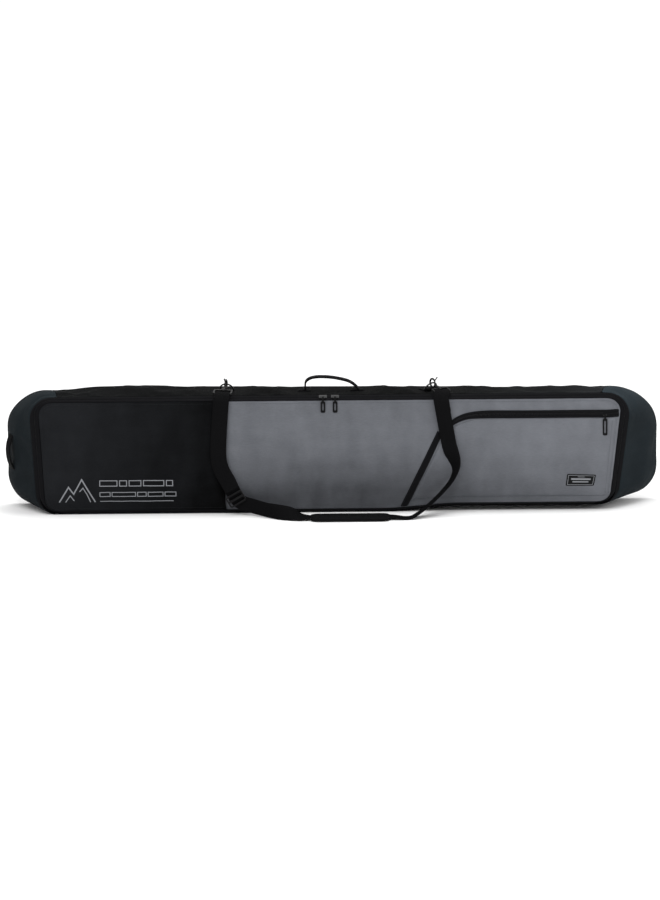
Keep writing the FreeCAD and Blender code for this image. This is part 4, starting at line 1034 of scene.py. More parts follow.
GR = 24
shares = np.linspace(0, 1, GR + 1)
gusset = between(LOOP["seam"], LOOP["rear"], shares)
n_seam, n_rear = outward(LOOP["seam"]), outward(LOOP["rear"])
gx, gz = gusset[..., 0], gusset[..., 2]
puff_row = np.sin(math.pi * shares) ** 0.8
amount = 4.0 + 4.0 * smooth(640, 760, np.abs(gx)) + 1.5 * field(gusset, (130, 90, 90), 5, 2)
on_floor = smooth(40, 4, gz) * smooth(810, 760, np.abs(gx))
amount = amount * (1 - on_floor) + 0.4 * on_floor
hard_top = smooth(280, 300, gz) * np.exp(-((gx - 3) / 115.0) ** 6)
hooks_top = smooth(280, 300, gz) * (np.exp(-((gx + 268) / 55.0) ** 4) + np.exp(-((gx - 276) / 55.0) ** 4))
amount = amount * (1 - 0.85 * np.clip(hard_top + hooks_top, 0, 1))
normals = (n_seam[None] * (1 - shares[:, None, None]) + n_rear[None] * shares[:, None, None])
gusset = gusset + normals * (puff_row[:, None] * amount)[..., None]
pins = np.zeros(gusset.shape[:2])
pins[(gz < 14)] = 1.0
pins = np.maximum(pins, np.clip(hard_top + hooks_top, 0, 1))
gusset = soften(simulate(gusset, loop=True, pressure=0.6, grow=0.012, cap=4.0, pins=pins), 1, loop=True)
gusset[..., 2] = np.maximum(gusset[..., 2], 0.0)
gusset = sag(gusset)
GN = grid_normals(gusset, True)


def ring_cols(test):
    """Runs of column numbers whose seam point passes, closed at the splits."""
    ok = [test(p) for p in LOOP["seam"]]
    first = next(k for k in range(RING) if ok[k] and not ok[k - 1])
    cols = []
    k = first
    while ok[k % RING] and len(cols) < RING:
        cols.append(k % RING)
        k += 1
    return cols


SPLIT = 700.0
top_cols = ring_cols(lambda p: abs(p[0]) <= SPLIT and p[2] > 150)
low_cols = ring_cols(lambda p: abs(p[0]) <= SPLIT and p[2] < 150)
# the end pieces run from the last column of one to the first of the other
right_cols = [(low_cols[-1] + k) % RING for k in range((top_cols[0] - low_cols[-1]) % RING + 1)]
left_cols = [(top_cols[-1] + k) % RING for k in range((low_cols[0] - top_cols[-1]) % RING + 1)]


def seam_dip(P, depth=1.1, sides=("first", "last")):
    """Pulls the first and last columns in, as a sewn seam does."""
    Q = P.copy()
    n = grid_normals(P)
    for side in sides:
        k = 0 if side == "first" else P.shape[1] - 1
        Q[:, k] -= n[:, k] * depth
    return Q


for name, cols, mat, nodes, slot_name in (
        ("top_cloth", top_cols, M_TOP, ["top_gusset", "top_foam"], "black_cloth"),
        ("bottom_cloth", low_cols, M_BACK, ["bottom_gusset", "bottom_foam"], "black_cloth"),
        ("left_end_cloth", left_cols, M_END, ["left_end_gusset", "left_end_foam"], "black_cloth"),
        ("right_end_cloth", right_cols, M_END, ["right_end_gusset", "right_end_foam"], "black_cloth")):
    P = gusset[:, cols]
    P = seam_dip(P)
    if name == "bottom_cloth":
        P[..., 2] = np.maximum(P[..., 2], 0.05)
    side = 1 if name.startswith("right") else -1 if name.startswith("left") else 0
    # each shell piece carries painted shade and light in its shade attribute
    solid_piece(name, P, 1.8, mat, "bag_shell", nodes, slot_name,
                shade=gusset_shade(P * [1, 1, 1] if not side else np.stack(
                    [np.full(P.shape[:2], side * 700.0), P[..., 1], P[..., 2]], -1)))

for name, col, side in (("stitches_top_left", top_cols[-1], -3), ("stitches_top_right", top_cols[0], 3)):
    line = gusset[:, (col + side) % RING]
    nl = GN[:, (col + side) % RING]
    v, f = stitch_line(line[1:-1], nl[1:-1])
    make(name, v, f, M_THREAD, "bag_shell")
row_stitches(gusset, 1.0, "stitches_gusset_front", M_THREAD, "bag_shell")
row_stitches(gusset, GR - 1.0, "stitches_gusset_back", M_THREAD, "bag_shell")

# Back panel.
flat, _, _ = coons(LOOP["rear"])
bx, bz = flat[..., 0], flat[..., 2]
inside = np.clip(np.minimum.reduce([bx - BACK_LOW[0], BACK_HIGH[0] - bx, bz, 300 - bz]) / 60.0, 0, 1)
bulge = 4.2 * np.sin(inside * math.pi / 2) + 1.2 * field(flat, (170, 1, 80), 12, 3) * inside
BACK = flat.copy()
BACK[..., 1] = REAR_Y + bulge
BACK = soften(simulate(BACK, pressure=0.5, grow=0.008, cap=3.0, flip=True), 1)
BACK = sag(BACK)
solid_piece("back_cloth", BACK, 1.8, M_BACK, "bag_shell", ["back_panel", "back_foam"], "black_cloth", flip=True)


def tube(loop, radius, sides=10, normals=None):
    """Closed tube along a closed loop."""
    n = outward(loop)
    y = np.array([0, 1, 0])
    rings = []
    for k in range(sides):
        a = 2 * math.pi * k / sides
        rings.append(loop + n * radius * math.cos(a) + y * radius * math.sin(a))
    P = np.stack(rings)
    verts = P.reshape(-1, 3)
    C = len(loop)
    faces = [(r * C + c, r * C + (c + 1) % C, ((r + 1) % sides) * C + (c + 1) % C, ((r + 1) % sides) * C + c)
             for r in range(sides) for c in range(C)]
    return verts, faces


WELT_R = (box_mm("back_welt")[1][1] - box_mm("back_welt")[0][1]) / 2
welt_loop = sag(ring3("rear", WELT_R + 0.7, y=REAR_Y + WELT_R + 0.2))
v, f = tube(welt_loop, WELT_R)
make("back_piping", v, f, M_BAND, "bag_shell", ["back_welt"], "trim", levels=0,
     attributes={"edge": np.full(len(v), 0.35)})
inner = sag(ring3("rear", 10.0))
inner_pts = []
BACK_TREE = BVHTree.FromPolygons(
    [Vector(p) for p in BACK.reshape(-1, 3)],
    [(r * BACK.shape[1] + c, r * BACK.shape[1] + c + 1, (r + 1) * BACK.shape[1] + c + 1, (r + 1) * BACK.shape[1] + c)
     for r in range(BACK.shape[0] - 1) for c in range(BACK.shape[1] - 1)])
pts, nls = [], []
for p in np.vstack([inner, inner[:1]]):
    hit, n, _, _ = BACK_TREE.ray_cast(Vector((p[0], 300, p[2])), Vector((0, -1, 0)))
    if hit is None:
        continue
    pts.append(np.array(hit))
    nls.append(np.array(n) if n[1] > 0 else -np.array(n))
v, f = stitch_line(pts, nls)
make("stitches_back", v, f, M_THREAD, "bag_shell")

# Hinge cloth along the bottom, from the shell to the panel.
xs = np.linspace(-690, 676, 140)
rows = []
low_y, low_z = RIM_Y + 0.6, 2.6
edge_line = FRONT[0, half:half + NB + 1]
for t in np.linspace(0, 1, 7):
    row = []
    for x in xs:
        px = np.interp(x, edge_line[:, 0], edge_line[:, 1])
        pz = np.interp(x, edge_line[:, 0], edge_line[:, 2])
        base = sag(np.array([x, low_y, low_z]))
        p = base * (1 - t) + np.array([x, px + 0.6, pz - 0.2]) * t
        p[1] -= 1.0 * math.sin(math.pi * t)
        row.append(p)
    rows.append(row)
HINGE = np.array(rows)
v, f = grid_solid(HINGE, 0.9)
hinge = make("hinge_cloth", v, f, M_BAND, None, (), "black_cloth", levels=1,
             attributes={"edge": np.full(len(v), 0.2)})
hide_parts("hinge_strip")
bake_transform(hinge)

# --- lining ----------------------------------------------------------------------


def quilt(P, axis_a, axis_b, size, depth):
    """Diamond quilting: height above the stitch lines."""
    a = P[..., axis_a] if isinstance(axis_a, int) else axis_a
    b = P[..., axis_b] if isinstance(axis_b, int) else axis_b
    s, t = (a + b) / size, (a - b) / size
    return depth * (np.abs(np.sin(math.pi * s)) * np.abs(np.sin(math.pi * t))) ** 0.6


in_seam = ring3("seam", 7.6, y=SEAM_Y + 1.2)
in_rear = ring3("rear", 7.6, y=REAR_Y - 7.6)
walls = between(in_seam, in_rear, np.linspace(0, 1, 19))
arc_len = np.concatenate([[0], np.cumsum(np.linalg.norm(np.diff(in_rear, axis=0), axis=1))])
arc_grid = np.tile(arc_len, (19, 1))
hump = quilt(walls, arc_grid, walls[..., 1], 52.0, 1.6)
walls = walls - outward(in_rear)[None] * hump[..., None]
v1, f1 = grid_solid(sag(walls), 0.9, loop=True, flip=True)
flat, _, _ = coons(in_rear)
LB = flat.copy()
LB[..., 1] -= quilt(flat, 0, 2, 72.0, 2.2)
v2, f2 = grid_solid(sag(LB), 0.9)
v, f = merge([(v1, f1), (v2, f2)])
make("lining_quilted", v, f, M_LINING, "bag_shell", ["lining"], "lining", levels=0)
rim_rows = between(ring3("seam", 1.2, y=SEAM_Y - 0.4), ring3("seam", 8.6, y=SEAM_Y + 0.4), np.linspace(0, 1, 6))
rim_rows[..., 1] -= (np.sin(np.linspace(0, math.pi, 6)) * 1.6)[:, None]
v, f = grid_solid(sag(rim_rows), 1.1, loop=True)
make("rim_binding", v, f, M_BAND, "bag_shell", slot="trim", levels=1, attributes={"edge": np.full(len(v), 0.2)})

flat, _, _ = coons(ring3("panel", 7.0, y=LID_Y - 0.15))
PL = flat.copy()
PL[..., 1] -= 1.6 - quilt(flat, 0, 2, 72.0, 1.5)
v, f = grid_solid(sag(PL), 0.9, flip=True)
make("panel_lining_quilted", v, f, M_LINING, "opening_panel", ["panel_lining"], "lining", levels=0)

# --- pocket ----------------------------------------------------------------------

LEFT_EDGE = [(207, 30), (290, 198), (322, 228), (372, 242)]
RIGHT_EDGE = [(706, 30), (728, 242)]
rows_z = np.concatenate([[30, 31.5, 34, 38], np.linspace(43, 230, 30), [234, 238, 240.5, 242]])
cols_u = np.concatenate([[0, 0.003, 0.008, 0.016], np.linspace(0.026, 0.974, 66), [0.984, 0.992, 0.997, 1]])
left_x = np.interp(rows_z, [p[1] for p in LEFT_EDGE], [p[0] for p in LEFT_EDGE])
right_x = np.interp(rows_z, [p[1] for p in RIGHT_EDGE], [p[0] for p in RIGHT_EDGE])
PK = np.zeros((len(rows_z), len(cols_u), 3))
for r, z in enumerate(rows_z):
    for c, u in enumerate(cols_u):
        x = left_x[r] + (right_x[r] - left_x[r]) * u
        zz = sag(np.array([x, -76, z]))[2]
        PK[r, c] = (x, on_front(x, zz)[0][1], zz)
dist = np.minimum.reduce([
    (rows_z[:, None] - 30) * np.ones_like(PK[..., 0]), (242 - rows_z[:, None]) * np.ones_like(PK[..., 0]),
    (PK[..., 0] - left_x[:, None]) * 0.9, right_x[:, None] - PK[..., 0]])
rise = 0.5 + 2.2 * np.sin(np.clip(dist / 7.0, 0, 1) * math.pi / 2)
pu = (PK[..., 0] - 207) / 520.0
pv = (rows_z[:, None] - 30) / 212.0
rise += 2.6 * np.sin(math.pi * np.clip(pv, 0, 1)) ** 0.8 * np.sin(math.pi * np.clip(pu, 0, 1)) ** 0.6
rise += 0.8 * field(PK * [1, 0, 1], (95, 1, 60), 21, 3) * np.clip(dist / 30, 0, 1)
near_pull = np.exp(-(((PK[..., 0] - 668) / 34.0) ** 2 + ((PK[..., 2] - 224) / 16.0) ** 2))
rise += 0.9 * near_pull * np.sin((PK[..., 0] - 0.6 * PK[..., 2]) / 6.5)
PK[..., 1] -= rise
POCKET = PK
# the pocket carries the same painted shade and light as the front
solid_piece("pocket_cloth", POCKET, 1.3, M_GREY, "opening_panel", ["pocket_panel"], "grey_cloth",
            shade=painted_front_shade(POCKET))
POCKET_TREE = BVHTree.FromPolygons(
    [Vector(p) for p in POCKET.reshape(-1, 3)],
    [(r * POCKET.shape[1] + c, r * POCKET.shape[1] + c + 1, (r + 1) * POCKET.shape[1] + c + 1,
      (r + 1) * POCKET.shape[1] + c)
     for r in range(POCKET.shape[0] - 1) for c in range(POCKET.shape[1] - 1)])


def strip_on_front(name, low_line, high_line, thick, lift, mat, body, nodes, slot_name, rows=5, step=6.0, crown_h=0.5,
                   trees=None, levels=1):
    """Flat strip on the front between two (x, z) lines with equal counts."""
    low, high = catmull(low_line, step), catmull(high_line, step)
    n = max(len(low), len(high))

    def even(line):
        run = np.concatenate([[0], np.cumsum(np.linalg.norm(np.diff(line, axis=0), axis=1))])
        s = np.linspace(0, run[-1], n)
        return np.column_stack([np.interp(s, run, line[:, 0]), np.interp(s, run, line[:, 1])])

    low, high = even(low), even(high)
    P = np.zeros((rows, n, 3))
    for r in range(rows):
        t = r / (rows - 1)
        for c in range(n):
            x, z = low[c] * (1 - t) + high[c] * t
            zz = sag(np.array([x, -76, z]))[2]
            p, nn = on_front(x, zz)
            P[r, c] = p + nn * (lift + crown_h * math.sin(math.pi * t))
    return P, solid_piece(name, P, thick, mat, body, nodes, slot_name, reach=3.0, levels=levels)


# Pocket zip: follows the slanted corner and the pocket's upper edge.
ZIP_HIGH = [(281, 201), (297, 226), (318, 246), (352, 259), (386, 264), (500, 264), (620, 264), (737, 264)]
ZIP_LOW = [(290, 199), (302, 217), (321, 231), (350, 241.5), (374, 243.5), (500, 243.5), (620, 243.5), (737, 243.5)]
PZ, _ = strip_on_front("pocket_zip_band", ZIP_LOW, ZIP_HIGH, 1.0, 1.7, M_BAND, "opening_panel", ["pocket_zip_tape"],
                       "zip_tape", rows=7)
line = PZ[3]
nz = grid_normals(PZ)[3]
run = np.concatenate([[0], np.cumsum(np.linalg.norm(np.diff(line, axis=0), axis=1))])
parts = []
pv_, pf_, base = [], [], 0
for s in np.arange(3, run[-1] - 3, 2.2):
    c = np.array([np.interp(s, run, line[:, k]) for k in range(3)])
    t = np.array([np.interp(s + 0.6, run, line[:, k]) for k in range(3)]) - c
    t /= max(np.linalg.norm(t), 1e-9)
    m = np.array([np.interp(s, run, nz[:, k]) for k in range(3)])
    m = m / np.linalg.norm(m)
    if m[1] > 0:
        m = -m
    w = np.cross(t, m)
    for d, hw, ht in ((-2.9, 0.3, 0.2), (-1.5, 0.5, 0.9), (1.5, 0.5, 0.9), (2.9, 0.3, 0.2)):
        q_ = c + w * d + m * 0.15
        pv_ += [q_ - t * hw - m * 0.3, q_ + t * hw - m * 0.3, q_ + t * hw * 0.7 + m * ht, q_ - t * hw * 0.7 + m * ht]
    for r in range(3):
        o = base + r * 4
        for j in range(4):
            j2 = (j + 1) % 4
            pf_.append((o + j, o + j2, o + 4 + j2, o + 4 + j))
    pf_.append((base + 3, base + 2, base + 1, base))
    pf_.append((base + 12, base + 13, base + 14, base + 15))
    base += 16
make("pocket_zip_teeth", np.array(pv_), pf_, M_COIL, "opening_panel", smooth_faces=False)
for k, row in enumerate((1, 5)):
    v, f = stitch_line(PZ[row], [n if n[1] < 0 else -n for n in grid_normals(PZ)[row]])
    make("stitches_pocket_zip_%d" % k, v, f, M_THREAD, "opening_panel")

PT, _ = strip_on_front("pocket_trim_cloth", [(197, 13), (241, 106), (284, 199)], [(178, 13), (226, 114.5), (275, 216)],
                       1.2, 1.6, M_BAND, "opening_panel", ["pocket_trim"], "trim", rows=5)
for k, row in enumerate((0.7, 3.3)):
    r = int(row)
    line = PT[r] * (1 - row + r) + PT[r + 1] * (row - r)
    nn = grid_normals(PT)[r]
    v, f = stitch_line(line, [n if n[1] < 0 else -n for n in nn])
    make("stitches_pocket_trim_%d" % k, v, f, M_THREAD, "opening_panel")
stitches_on("stitches_pocket", [
    [(706 - 6, 38), (727 - 7, 236)], [(212, 36), (700, 36)]], M_THREAD_GREY, "opening_panel", POCKET_TREE)

# Label with a thin rim and generic bars.
CORNERS = np.array([(600, 62), (672, 61), (678, 93), (604, 97)], float)


def on_label(u, v, lift):
    p = (CORNERS[0] * (1 - u) * (1 - v) + CORNERS[1] * u * (1 - v) + CORNERS[2] * u * v + CORNERS[3] * (1 - u) * v)
    zz = sag(np.array([p[0], -76, p[1]]))[2]
    hit, n = on_front(p[0], zz, POCKET_TREE)
    return hit + n * lift


def patch(u0, u1, v0, v1, lift, nu, nv):
    return np.array([[on_label(u0 + (u1 - u0) * a / nu, v0 + (v1 - v0) * b / nv, lift) for a in range(nu + 1)]
                     for b in range(nv + 1)])


P = patch(0, 1, 0, 1, 1.5, 14, 8)
solid_piece("label_plate", P, 1.2, M_LABEL, "opening_panel", ["label_patch"], "label", reach=2)
bars = []
for u0, u1, v0, v1 in ((0.05, 0.95, 0.09, 0.12), (0.05, 0.95, 0.88, 0.91), (0.05, 0.064, 0.12, 0.88),
                       (0.936, 0.95, 0.12, 0.88), (0.16, 0.84, 0.52, 0.66), (0.22, 0.78, 0.30, 0.40),
                       (0.38, 0.62, 0.76, 0.80)):
    nu = max(1, int((u1 - u0) * 14))
    nv = max(1, int((v1 - v0) * 8))
    bars.append(grid_solid(patch(u0, u1, v0, v1, 1.75, nu, nv), 0.3))
v, f = merge(bars)
make("label_bars", v, f, M_PRINT, "opening_panel", slot="label", smooth_faces=False)

# Generic ridge mark and stripes on the dark cloth.


def print_strip(line, width, step=6.0, close=False):
    """Thin flat line of ink, mitred, laid on the front cloth."""
    p = np.asarray(line, float)
    n = len(p)
    out = []
    for k in range(n):
        a = p[k - 1] if (k > 0 or close) else p[k]
        b = p[(k + 1) % n] if (k < n - 1 or close) else p[k]
        t1 = p[k] - a if k > 0 or close else b - p[k]
        t2 = b - p[k] if k < n - 1 or close else p[k] - a
        t1, t2 = t1 / np.linalg.norm(t1), t2 / np.linalg.norm(t2)
        m = t1 + t2
        m /= np.linalg.norm(m)
        nrm = np.array([-m[1], m[0]])
        k_ = 1 / max(0.35, abs(nrm @ np.array([-t1[1], t1[0]])))
        out.append((p[k] - nrm * width / 2 * k_, p[k] + nrm * width / 2 * k_))
    if close:
        out.append(out[0])
    grids = []
    for (a0, a1), (b0, b1) in zip(out[:-1], out[1:]):
        cnt = max(1, int(np.linalg.norm((b0 + b1 - a0 - a1) / 2) / step))
        P = np.zeros((2, cnt + 1, 3))
        for j in range(cnt + 1):
            t = j / cnt
            for r, (s, e) in enumerate(((a0, b0), (a1, b1))):
                q = s + (e - s) * t
                zz = sag(np.array([q[0], -76, q[1]]))[2]
                hit, nn = on_front(q[0], zz)
                P[r, j] = hit + nn * 0.32
        grids.append(grid_solid(P, 0.25))
    return grids


marks = []
marks += print_strip([(-692, 34), (-668, 74), (-655, 56), (-634, 94), (-600, 34)], 3.4)
marks += print_strip([(-676, 34), (-664, 52), (-654, 38)], 2.4)
marks += print_strip([(-640, 62), (-631, 72), (-621, 55), (-612, 34)], 2.4)
widths = [44, 18, 30, 52, 16]
x = -588.0
for k, wd in enumerate(widths):
    marks += print_strip([(x, 77), (x + wd, 77), (x + wd, 91), (x, 91)], 2.2, close=True)
    x += wd + 6.5
x = -588.0
for k, wd in enumerate([26, 60, 22, 38, 28]):
    marks += print_strip([(x, 49), (x + wd, 49), (x + wd, 60), (x, 60)], 2.0, close=True)
    x += wd + 5.0
marks += print_strip([(-588, 36), (-400, 36)], 1.8)
v, f = merge(marks)
make("front_mark", v, f, M_PRINT, "opening_panel", smooth_faces=False, slot="label")

# --- handles -----------------------------------------------------------------------

TOP_Z = box_mm("top_handle_anchor_left")[0][2]
path = [(-78, TOP_Z + 1.2), (-68, TOP_Z + 1.3), (-62.5, TOP_Z + 4), (-62, TOP_Z + 13), (-60.5, TOP_Z + 23),
        (-52, TOP_Z + 31.0), (-38, TOP_Z + 35.0), (-19, TOP_Z + 36.0), (6, TOP_Z + 34.2), (30, TOP_Z + 29.8),
        (48, TOP_Z + 24.6), (62, TOP_Z + 16.5), (71, TOP_Z + 7.5), (77, TOP_Z + 2.0), (86, TOP_Z + 1.2)]
pts = np.array([(x, 0.0, z) for x, z in path])
v, f, at, _ = ribbon(pts, np.tile([0.0, 1.0, 0.0], (len(pts), 1)), 25, 4.4, step=3.0)
handle = make("top_handle_webbing", v, f, M_WEB, None, (), "webbing", attributes=at)
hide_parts("top_handle")
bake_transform(handle)


def stitched_patch(name, frame_m, length, width, body, nodes):
    """Webbing patch sewn down with a box and a cross; local x, y, z in mm."""
    n = 9
    pts = np.array([(-length / 2 + length * k / (n - 1), 0, 1.15) for k in range(n)])
    v, f, at, _ = ribbon(pts, np.tile([0.0, 1.0, 0.0], (n, 1)), width, 1.9, step=4.0)
    ob = make(name, v, f, M_WEB, body, nodes, "webbing", attributes=at, place=frame_m)
    a, b = length / 2 - 3.0, width / 2 - 3.0
    z = 2.15
    up = np.array([0, 0, 1.0])
    lines = [[(-a, -b), (a, -b)], [(a, -b), (a, b)], [(a, b), (-a, b)], [(-a, b), (-a, -b)],
             [(-a, -b), (a, b)], [(-a, b), (a, -b)]]
    parts = []
    for (x0, y0), (x1, y1) in lines:
        parts.append(stitch_line([(x0, y0, z), (x1, y1, z)], [up, up], pitch=3.4, length=2.5, radius=0.34, lift=0.0))
    v, f = merge(parts)
    make("stitches_" + name, v, f, M_THREAD, body, place=frame_m)
    return ob


def frame_mm(origin, x_dir, z_dir):
    z = Vector(z_dir).normalized()
    x = Vector(x_dir).normalized()
    y = z.cross(x).normalized()
    m = Matrix(((x.x, y.x, z.x, origin[0] * 0.001), (x.y, y.y, z.y, origin[1] * 0.001),
                (x.z, y.z, z.z, origin[2] * 0.001), (0, 0, 0, 1)))
    return m


for side in ("left", "right"):
    low, high = box_mm("top_handle_anchor_" + side)
    stitched_patch("handle_patch_" + side, frame_mm(((low[0] + high[0]) / 2, 0, low[2]), (1, 0, 0), (0, 0, 1)),
                   high[0] - low[0] + 2, 25, "bag_shell", ["top_handle_anchor_" + side])

# End handle: base point, outward normal and vertical run.
E_BASE = np.array((-806.25, 24.48, 148.0))
E_OUT = np.array((-0.900, -0.436, 0.0))
E_OUT /= np.linalg.norm(E_OUT)
E_SIDE = np.cross((0, 0, 1.0), E_OUT)
path = [(-70, 1.0), (-58, 1.3), (-51, 3.4), (-45, 8.0), (-34, 14.0), (-18, 18.6), (0, 20.4), (18, 18.9), (34, 14.2),
        (45, 8.0), (51, 3.4), (58, 1.3), (70, 1.0)]
pts = np.array([E_BASE + E_OUT * (d + 0.6) + np.array([0, 0, h]) for h, d in path])
v, f, at, _ = ribbon(pts, np.tile(E_SIDE, (len(pts), 1)), 25, 3.0, step=3.0)
haul = make("end_handle_webbing", v, f, M_WEB, None, (), "webbing", attributes=at)
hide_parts("end_handle")
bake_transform(haul)
for side, h in (("low", -61.0), ("high", 61.0)):
    o = E_BASE + E_OUT * 0.2 + np.array([0, 0, h])
    stitched_patch("end_handle_patch_" + side, frame_mm(o, (0, 0, 1), E_OUT), 27, 25, "bag_shell",
                   ["end_handle_anchor_" + side])

# --- D-ring tabs ---------------------------------------------------------------------

RING_BARS = {"left": ((-261.68, -9.76, 307.8), (0.97815, -0.20791, 0)),
             "right": ((256.78, -18.41, 307.8), (0.81915, 0.57358, 0))}
for side, (bar, across) in RING_BARS.items():
    a = np.array(across)
    fwd = np.cross((0, 0, 1.0), a)
    bar = np.array(bar)
    local = [(34, -3.3), (22, -3.3), (10, -3.25), (3.5, -3.15)]
    for deg in (-110, -140, -170, -200, -230, -260, -290):
        local.append((3.1 * math.cos(math.radians(deg)), 3.1 * math.sin(math.radians(deg))))
    local += [(3.2, 2.2), (8, -0.6), (14, -1.6), (22, -1.75), (32, -1.75)]
    pts = np.array([bar + fwd * d + np.array([0, 0, h]) for d, h in local])
    v, f, at, _ = ribbon(pts, np.tile(a, (len(pts), 1)), 25, 1.5, step=2.5)
    make("ring_tab_" + side, v, f, M_WEB, "bag_shell", ["d_ring_tab_" + side], "webbing", attributes=at)
    m = frame_mm(bar + fwd * 20 + np.array([0, 0, -2.6]), fwd, (0, 0, 1))
    up = np.array([0, 0, 1.0])
    parts = []
    for (x0, y0), (x1, y1) in ([(-10, -9), (10, -9)], [(10, -9), (10, 9)], [(10, 9), (-10, 9)], [(-10, 9), (-10, -9)],
                               [(-10, -9), (10, 9)], [(-10, 9), (10, -9)]):
        parts.append(stitch_line([(x0, y0, 1.65), (x1, y1, 1.65)], [up, up], pitch=3.4, length=2.5, radius=0.34, lift=0))
    v, f = merge(parts)
    make("stitches_ring_tab_" + side, v, f, M_THREAD, "bag_shell", place=m)

# --- shoulder strap --------------------------------------------------------------------

def S(x, y, z, wx, wy, wz):
    w = np.array((wx, wy, wz), float)
    return (np.array((x, y, z), float), w / np.linalg.norm(w))


def round_bar(base, axis, across):
    base, axis, across = np.array(base), np.array(axis), np.array(across)
    third = np.cross(across, axis)
    return [(base + (axis * math.cos(math.radians(d)) + third * math.sin(math.radians(d))) * 4.2, across)
            for d in (-60, -20, 20, 60, 100)]


left_up = [S(-249.5, -106.2, 66, 0.90, 0, 0.44), S(-263, -104, 92, 0.93, 0, 0.36),
           S(-277, -101, 118, 0.97, 0, 0.22), S(-284, -99, 142, 1, 0, 0.05),
           S(-285.5, -97, 172, 1, 0, 0), S(-284, -95, 204, 1, 0, -0.02), S(-281, -91.5, 250, 1, 0, -0.02),
           S(-278, -89.5, 285, 1, 0, 0), S(-276, -86.5, 299, 1, -0.03, 0),
           S(-274.5, -78, 309.5, 0.99, -0.12, 0)]
left_down = [S(-273.8, -75.5, 303.2, 0.99, -0.12, 0), S(-275, -81.6, 296.0, 1, -0.03, 0),
             S(-276, -84.6, 285, 1, 0, 0), S(-279, -87, 250, 1, 0, -0.02),
             S(-282, -90, 204, 1, 0, -0.02), S(-283.5, -92.5, 172, 1, 0, 0),
             S(-282, -95, 142, 1, 0, 0.05), S(-275, -97, 118, 0.97, 0, 0.22),
             S(-261, -99, 92, 0.93, 0, 0.36), S(-249, -100.5, 66, 0.90, 0, 0.44),
             S(-238, -102, 45, 0.82, 0, 0.57), S(-222, -104.5, 33, 0.5, 0, 0.86),
             S(-203, -110, 28.5, 0.1, 0.03, 1), S(-180, -123, 24.5, 0.05, 0.03, 1),
             S(-158, -136, 21.4, 0.0, 0.05, 1), S(-128, -150, 19.2, 0, 0.35, 0.93),
             S(-98, -156.5, 15.6, 0, 0.68, 0.73), S(-78, -157, 9.2, 0, 0.94, 0.34),
             S(-52, -155, 7.3, 0, 1, 0)]
through_pad = [S(152, -155, 7.3, 0, 1, 0)]
right_up = [S(172, -155, 5.2, 0, 1, 0), S(190, -154, 2.4, 0, 1, 0), S(205, -152, 3.4, 0, 1, 0),
            S(219, -147, 9.6, -0.02, 1, 0), S(241, -137, 24, -0.05, 1, 0), S(267, -127, 45, -0.08, 1, 0),
            S(290, -119, 67.5, -0.12, 1, 0), S(307, -114, 88, -0.2, 1, 0), S(318, -110, 110, -0.35, 1, 0),
            S(320, -107, 128, -0.7, 0.9, 0.05), S(316, -104, 145, -1, 0.6, 0.1),
            S(309, -102, 162, -1, 0.2, 0.08), S(304, -100, 178, -1, 0.03, 0.02),
            S(298, -98, 210, -1, 0, 0), S(291, -95, 250, -1, 0, 0), S(285, -90.5, 285, -1, -0.03, 0),
            S(283, -87, 297, -1, -0.12, 0), S(285.5, -78, 308.5, -0.92, -0.38, 0)]
right_tail = [S(286.6, -75.3, 303.0, -0.87, -0.49, 0), S(285, -81, 298.0, -0.97, -0.2, 0),
              S(286, -85, 285, -1, -0.05, 0), S(290, -88.5, 262, -1, 0, 0)]
around_left = round_bar((-273, -63, 311), (0.19537, 0.91916, 0.34202), (0.97815, -0.20791, 0))[::-1]
around_right = [(p, -w) for p, w in
                round_bar((288, -63, 311), (-0.53899, 0.76975, 0.34202), (0.81915, 0.57358, 0))[::-1]]
ROUTE = left_up + around_left + left_down + through_pad + right_up + around_right + right_tail
pts = np.array([p for p, _ in ROUTE])
wid = np.array([w for _, w in ROUTE])
v, f, at, (SC, SW, SN, SRUN) = ribbon(pts, wid, 38, 2.0, step=5.0)
strap = make("shoulder_strap", v, f, M_WEB, "bag_shell", ["strap_webbing"], "webbing", attributes=at)
print("strap length along its route, mm: %.0f" % SRUN[-1])

# Sewn join: four rows of stitches where the webbing doubles back at the right strap eye.
parts = []
for z0, z1, pick in ((262, 284, "right"),):
    idx = [k for k in range(len(SC)) if SRUN[k] > SRUN[-1] - 24 and SRUN[k] < SRUN[-1] - 2]
    for off in (-14, -5, 5, 14):
        line = SC[idx] + SW[idx] * off - SN[idx] * 0
        nn = SN[idx]
        outw = np.array([n if n[1] < 0 else -n for n in nn])
        parts.append(stitch_line(line + outw * 1.0, outw, pitch=3.4, length=2.5, radius=0.34, lift=0.05))
v, f = merge(parts)
strap_thread = make("stitches_strap", v, f, M_THREAD, "bag_shell")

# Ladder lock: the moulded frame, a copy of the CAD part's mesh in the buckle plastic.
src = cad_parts["ladder_lock"]
lock = bpy.data.objects.new("ladder_lock_moulded", src.data.copy())
SCENE.collection.objects.link(lock)
lock.data.materials.clear()
lock.data.materials.append(M_BUCKLE)
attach(lock, "ladder_lock")
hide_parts("ladder_lock")

